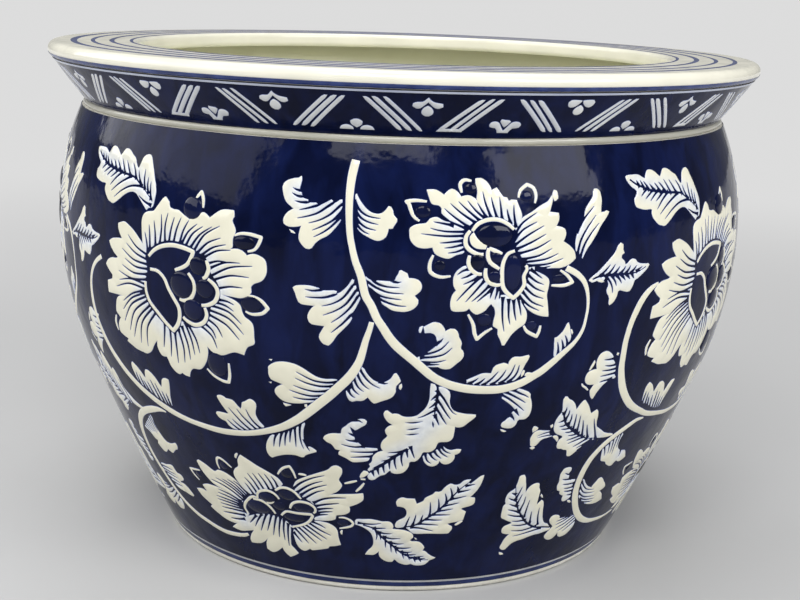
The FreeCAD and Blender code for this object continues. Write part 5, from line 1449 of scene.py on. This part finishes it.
def slanted_bar(low, high, chance):
    """One bar of the trellis, from its foot to its head."""
    width = chance.uniform(BAR_THIN, BAR_WIDE)
    start = (low + chance.uniform(-BAR_DRIFT, BAR_DRIFT), BAR_FOOT + chance.uniform(-0.2, 0.3))
    end = (high + chance.uniform(-BAR_DRIFT, BAR_DRIFT), BAR_HEAD + chance.uniform(-0.3, 0.3))
    line = []
    for i in range(BAR_STEPS + 1):
        line.append(tuple(start[k] + (end[k] - start[k]) * i / BAR_STEPS for k in (0, 1)))
    halves = [width] * (BAR_STEPS + 1)
    halves[0] = halves[-1] = width * BAR_END
    loop = band(line, halves)
    for i in (0, -1):
        loop[i] = (loop[i][0], start[1])
    for i in (BAR_STEPS, BAR_STEPS + 1):
        loop[i] = (loop[i][0], end[1])
    return loop


def placed_petals(drawing, middle):
    """The petals of a drawing, moved round to its middle."""
    return [[(x + middle, y) for x, y in curved(line)] for line in lines(drawing)]


def make_trellis():
    """The white trellis painted on the neck."""
    chance = random.Random(5)
    meshes = []
    for i in range(TRELLIS_KINDS):
        relief = Relief(f"neck_trellis_{i}")
        bars = [slanted_bar(FLOWER_PLACE + low, FLOWER_PLACE + high, chance) for low, high in RISING]
        if i % 2 == 0:
            foot = FLOWER_PLACE + chance.uniform(3.6, 4.4)
            bars.append([(foot + across, up) for across, up in LOW_BAR_CORNERS])
        bars += [slanted_bar(FLOWER_PLACE + low, FLOWER_PLACE + high, chance)[::-1] for low, high in FALLING]
        relief.add(shape(bars), [(0.0, 0.0)], TRELLIS_LIFT)
        hanging = HANGING if i % 3 else HANGING_PAIR
        standing = STANDING if i % 2 == 0 else STANDING_HALVES
        nudge = chance.uniform(-FLOWER_DRIFT, FLOWER_DRIFT)
        petals = placed_petals(hanging, FLOWER_PLACE + nudge)
        petals += placed_petals(standing, FLOWER_PLACE + FLOWER_STEP - nudge)
        relief.add(shape(petals), [(0.0, 0.0)])
        meshes.append(relief.mesh())
    first = -TRELLIS_BEFORE * 2 * math.pi / TRELLIS_REPEATS
    round_the_pot("neck_trellis", meshes, TRELLIS_REPEATS, NECK_WHITE, first, TRELLIS_WANDER)




# Glazes

def material(name):
    """A new material with its node tree and its shader."""
    made = bpy.data.materials.new(name)
    made.use_nodes = True
    tree = made.node_tree
    return made, tree, tree.nodes["Principled BSDF"]


def node(tree, kind, inputs=None, **settings):
    """A shader node of a material, a light or the world."""
    return new_node(tree, "ShaderNode" + kind, inputs or {}, settings)


def noise(tree, scale, detail=2.0, roughness=0.5):
    """Soft cloudy variation through the object's own coordinates."""
    place = node(tree, "TexCoord")
    return node(tree, "TexNoise", {"Vector": place.outputs["Object"], "Scale": scale, "Detail": detail,
                                   "Roughness": roughness}).outputs["Fac"]


def ramp(tree, value, stops):
    """A colour that follows a value through stops of a position and a colour."""
    made = node(tree, "ValToRGB", {"Fac": value})
    elements = made.color_ramp.elements
    while len(elements) < len(stops):
        elements.new(0.5)
    for element, (place, colour) in zip(elements, stops):
        element.position = place
        element.color = (*colour, 1.0)
    return made.outputs["Color"]


def mixed(tree, part, first, second):
    """Two colours, with a part of the second in the first."""
    made = node(tree, "Mix", data_type="RGBA")
    tree.links.new(part, made.inputs[0])
    for socket, value in ((made.inputs[6], first), (made.inputs[7], second)):
        if isinstance(value, bpy.types.NodeSocket):
            tree.links.new(value, socket)
        else:
            socket.default_value = (*value, 1.0)
    return made.outputs[2]


def spread(tree, value, low, high, to_low, to_high):
    """A value stretched from one range to another."""
    return node(tree, "MapRange", {"Value": value, "From Min": low, "From Max": high, "To Min": to_low,
                                   "To Max": to_high}).outputs["Result"]


def bumped(tree, shader, layers):
    """Fine unevenness of the glaze: pairs of a noise's scale and its height in metres."""
    normal = None
    for scale, height in layers:
        made = node(tree, "Bump", {"Height": noise(tree, scale, 1.0), "Distance": height, "Strength": 1.0})
        if normal:
            tree.links.new(normal, made.inputs["Normal"])
        normal = made.outputs["Normal"]
    tree.links.new(normal, shader.inputs["Normal"])


def cobalt_ground():
    """Deep cobalt under clear glaze, laid on with a broad brush and pooled darker and lighter."""
    made, tree, shader = material("cobalt_ground")
    place = node(tree, "TexCoord").outputs["Object"]
    brushed = {"Vector": place, "Scale": (1.0, 1.0, 0.3), "Rotation": (0.5, 0.3, 0.0)}
    stretched = node(tree, "Mapping", brushed)
    strokes = node(tree, "TexNoise", {"Vector": stretched.outputs["Vector"], "Scale": 90.0, "Detail": 3.0,
                                      "Distortion": 0.6}).outputs["Fac"]
    wide = ramp(tree, noise(tree, 22, 4.0, 0.6),
                [(0.32, (0.0014, 0.0032, 0.018)), (0.70, (0.0036, 0.0076, 0.046))])
    fine = ramp(tree, strokes, [(0.38, (0.0010, 0.0022, 0.013)), (0.66, (0.0050, 0.0105, 0.060))])
    part = spread(tree, noise(tree, 60), 0.3, 0.7, 0.30, 0.65)
    tree.links.new(mixed(tree, part, wide, fine), shader.inputs["Base Color"])
    tree.links.new(spread(tree, noise(tree, 90), 0.3, 0.7, 0.07, 0.13), shader.inputs["Roughness"])
    shader.inputs["Specular IOR Level"].default_value = 0.10
    bumped(tree, shader, [(55, 0.00055), (260, 0.00008)])
    return made


def painted_white(name, warm=((0.72, 0.695, 0.555), (0.79, 0.765, 0.625))):
    """White slip with blue bleeding in at its edges, cool near the open ends of the cuts and ivory beyond."""
    made, tree, shader = material(name)
    edge = node(tree, "Attribute", attribute_name="edge").outputs["Fac"]
    cool = node(tree, "Attribute", attribute_name="cool").outputs["Fac"]
    ivory = ramp(tree, noise(tree, 48, 3.0), [(0.3, warm[0]), (0.7, warm[1])])
    bluish = ramp(tree, noise(tree, 300, 3.0), [(0.3, (0.58, 0.62, 0.69)), (0.7, (0.76, 0.79, 0.82))])
    body = mixed(tree, spread(tree, cool, 0.0, 0.8, 0.0, 0.85), ivory, bluish)
    rim = ramp(tree, edge, [(0.0, (0.018, 0.040, 0.20)), (0.5, (0.15, 0.21, 0.50))])
    inside = spread(tree, edge, 0.46, 0.86, 0.0, 1.0)
    tree.links.new(mixed(tree, inside, rim, body), shader.inputs["Base Color"])
    tree.links.new(spread(tree, noise(tree, 120), 0.3, 0.7, 0.10, 0.18), shader.inputs["Roughness"])
    bumped(tree, shader, [(60, 0.00040), (300, 0.00005)])
    return made


def plain_glaze(name, stops, low=0.13, high=0.22, scale=40, bumps=((60, 0.0004), (300, 0.00005)), shine=0.5):
    """A glaze whose colour drifts between two stops."""
    made, tree, shader = material(name)
    tree.links.new(ramp(tree, noise(tree, scale, 4.0), stops), shader.inputs["Base Color"])
    tree.links.new(spread(tree, noise(tree, 110), 0.3, 0.7, low, high), shader.inputs["Roughness"])
    shader.inputs["Specular IOR Level"].default_value = shine
    bumped(tree, shader, bumps)
    return made


COBALT = cobalt_ground()
WHITE = painted_white("painted_white")
NECK_WHITE = painted_white("trellis_white", ((0.60, 0.62, 0.66), (0.74, 0.75, 0.74)))
BERRY = plain_glaze("berry_blue", [(0.3, (0.0014, 0.0028, 0.014)), (0.7, (0.0040, 0.0080, 0.046))],
                    0.04, 0.09, shine=0.2)
# The bead's ivory white is set far darker than the rim's white glaze: this darkening is painted shade, not
# the glaze's own colour.
SHADED_IVORY = plain_glaze("shaded_ivory_glaze", [(0.3, (0.40, 0.39, 0.33)), (0.7, (0.47, 0.46, 0.39))])
RIM_WHITE = plain_glaze("rim_white", [(0.3, (0.72, 0.70, 0.59)), (0.7, (0.79, 0.765, 0.65))])
FOOT_WHITE = plain_glaze("foot_white", [(0.3, (0.66, 0.64, 0.56)), (0.7, (0.78, 0.76, 0.68))], 0.2, 0.35)
PALE_LINE = plain_glaze("pale_line", [(0.3, (0.42, 0.46, 0.60)), (0.7, (0.56, 0.60, 0.70))])
BLUE_LINE = plain_glaze("blue_line", [(0.3, (0.013, 0.026, 0.12)), (0.7, (0.042, 0.070, 0.24))], scale=130,
                        shine=0.3)
FOOT_BLUE = plain_glaze("foot_blue", [(0.3, (0.005, 0.011, 0.060)), (0.7, (0.018, 0.034, 0.13))], scale=110,
                        shine=0.2)
FOOT_GREY = plain_glaze("foot_grey", [(0.3, (0.40, 0.41, 0.44)), (0.7, (0.60, 0.60, 0.58))], scale=90)
CELADON = plain_glaze("celadon", [(0.3, (0.86, 0.86, 0.70)), (0.7, (0.92, 0.92, 0.78))], 0.15, 0.25)
PORCELAIN = plain_glaze("bare_porcelain", [(0.3, (0.70, 0.68, 0.62)), (0.7, (0.80, 0.78, 0.72))], 0.55, 0.75,
                        bumps=((900, 0.0001),))


# The pot

make_pot()
make_painted_lines()
make_scroll()
make_berries()
make_trellis()

for name in ("base_disc", "lower_wall", "upper_wall", "neck_collar"):
    part = bpy.data.objects[name]
    if not part.material_slots:
        part.data.materials.append(PORCELAIN)
    for slot in part.material_slots:
        slot.material = PORCELAIN


# Photographing it: floor, backdrop, soft lights and camera

BACKGROUND = (0.72, 0.72, 0.72)
FADE_START, FADE_END = 0.30, 1.5
FLOOR_HALF = 8.0


def floor_material():
    """Plain pale floor that keeps the pot's shadow and fades into the backdrop further off."""
    made, tree, shader = material("floor")
    shader.inputs["Base Color"].default_value = (0.50, 0.50, 0.50, 1.0)
    shader.inputs["Roughness"].default_value = 0.6
    shader.inputs["Specular IOR Level"].default_value = 0.2
    place = node(tree, "TexCoord").outputs["Object"]
    away = node(tree, "VectorMath", {0: place}, operation="LENGTH").outputs["Value"]
    faded = node(tree, "MapRange", {"Value": away, "From Min": FADE_START, "From Max": FADE_END},
                 interpolation_type="SMOOTHSTEP")
    path = node(tree, "LightPath")
    seen = node(tree, "Math", {0: path.outputs["Is Camera Ray"], 1: path.outputs["Is Glossy Ray"]},
                operation="MAXIMUM")
    part = node(tree, "Math", {0: faded.outputs["Result"], 1: seen.outputs[0]}, operation="MULTIPLY")
    glow = node(tree, "Emission", {"Color": (*BACKGROUND, 1.0), "Strength": 1.0})
    both = node(tree, "MixShader", {0: part.outputs[0], 1: shader.outputs[0], 2: glow.outputs[0]})
    tree.links.new(both.outputs[0], tree.nodes["Material Output"].inputs["Surface"])
    return made


def make_floor():
    """A wide plain floor."""
    corners = [(x * FLOOR_HALF, y * FLOOR_HALF, 0) for x, y in ((-1, -1), (1, -1), (1, 1), (-1, 1))]
    mesh = bpy.data.meshes.new("floor")
    mesh.from_pydata(corners, [], [(0, 1, 2, 3)])
    mesh.materials.append(floor_material())
    made = bpy.data.objects.new("floor", mesh)
    bpy.context.scene.collection.objects.link(made)


def softbox(name, place, target, wide, tall, power):
    """A broad soft light, aimed at a target."""
    light = bpy.data.lights.new(name, "AREA")
    light.shape = "RECTANGLE"
    light.size, light.size_y = wide, tall
    light.energy = power
    made = bpy.data.objects.new(name, light)
    made.location = place
    made.rotation_euler = (Vector(target) - Vector(place)).to_track_quat("-Z", "Y").to_euler()
    bpy.context.scene.collection.objects.link(made)


def make_world():
    """Plain white behind the pot, and weaker cool light from all round."""
    world = bpy.data.worlds.new("studio")
    bpy.context.scene.world = world
    world.use_nodes = True
    tree = world.node_tree
    tree.nodes.clear()
    path = node(tree, "LightPath")
    seen = path.outputs["Is Camera Ray"]
    room = node(tree, "Background", {"Color": (0.95, 0.97, 1.0, 1.0), "Strength": 0.22})
    white = node(tree, "Background", {"Color": (*BACKGROUND, 1.0), "Strength": 1.0})
    both = node(tree, "MixShader", {0: seen, 1: room.outputs[0], 2: white.outputs[0]})
    out = node(tree, "OutputWorld")
    tree.links.new(both.outputs[0], out.inputs[0])


# The photograph's camera: its place in metres, its turn in radians and its lens
CAMERA_PLACE = (0.0, -0.8482, 0.32135)
CAMERA_TURN = (0.002642, 0.223845, -0.034112)
CAMERA_LENS, CAMERA_SENSOR = 65.395, 36.0


def make_camera():
    """The camera, which looks ahead, down by its pitch, and is tilted by its roll."""
    yaw, pitch, roll = CAMERA_TURN
    ahead = Vector((math.sin(yaw) * math.cos(pitch), math.cos(yaw) * math.cos(pitch), -math.sin(pitch)))
    right = Vector((math.cos(yaw), -math.sin(yaw), 0.0))
    down = ahead.cross(right)
    across = math.cos(roll) * right + math.sin(roll) * down
    up = math.sin(roll) * right - math.cos(roll) * down
    camera = bpy.data.objects.new("camera", bpy.data.cameras.new("camera"))
    camera.data.lens = CAMERA_LENS
    camera.data.sensor_width = CAMERA_SENSOR
    camera.data.clip_start = 0.05
    turn = Matrix((across, up, -ahead)).transposed().to_4x4()
    camera.matrix_world = Matrix.Translation(CAMERA_PLACE) @ turn
    bpy.context.scene.collection.objects.link(camera)
    bpy.context.scene.camera = camera


make_floor()
make_world()
softbox("left", (-1.60, -0.14, 1.00), (0, 0, 0.2), 2.5, 1.0, 25)
softbox("right", (1.41, -1.27, 1.12), (0, 0, 0.2), 1.3, 0.8, 26)
softbox("front", (-0.2, -1.75, 1.95), (0, 0, 0.15), 1.3, 1.0, 31)
softbox("top", (0, 0.6, 2.4), (0, 0, 0.25), 1.4, 1.4, 23)
make_camera()

bpy.context.scene.view_settings.view_transform = "Standard"
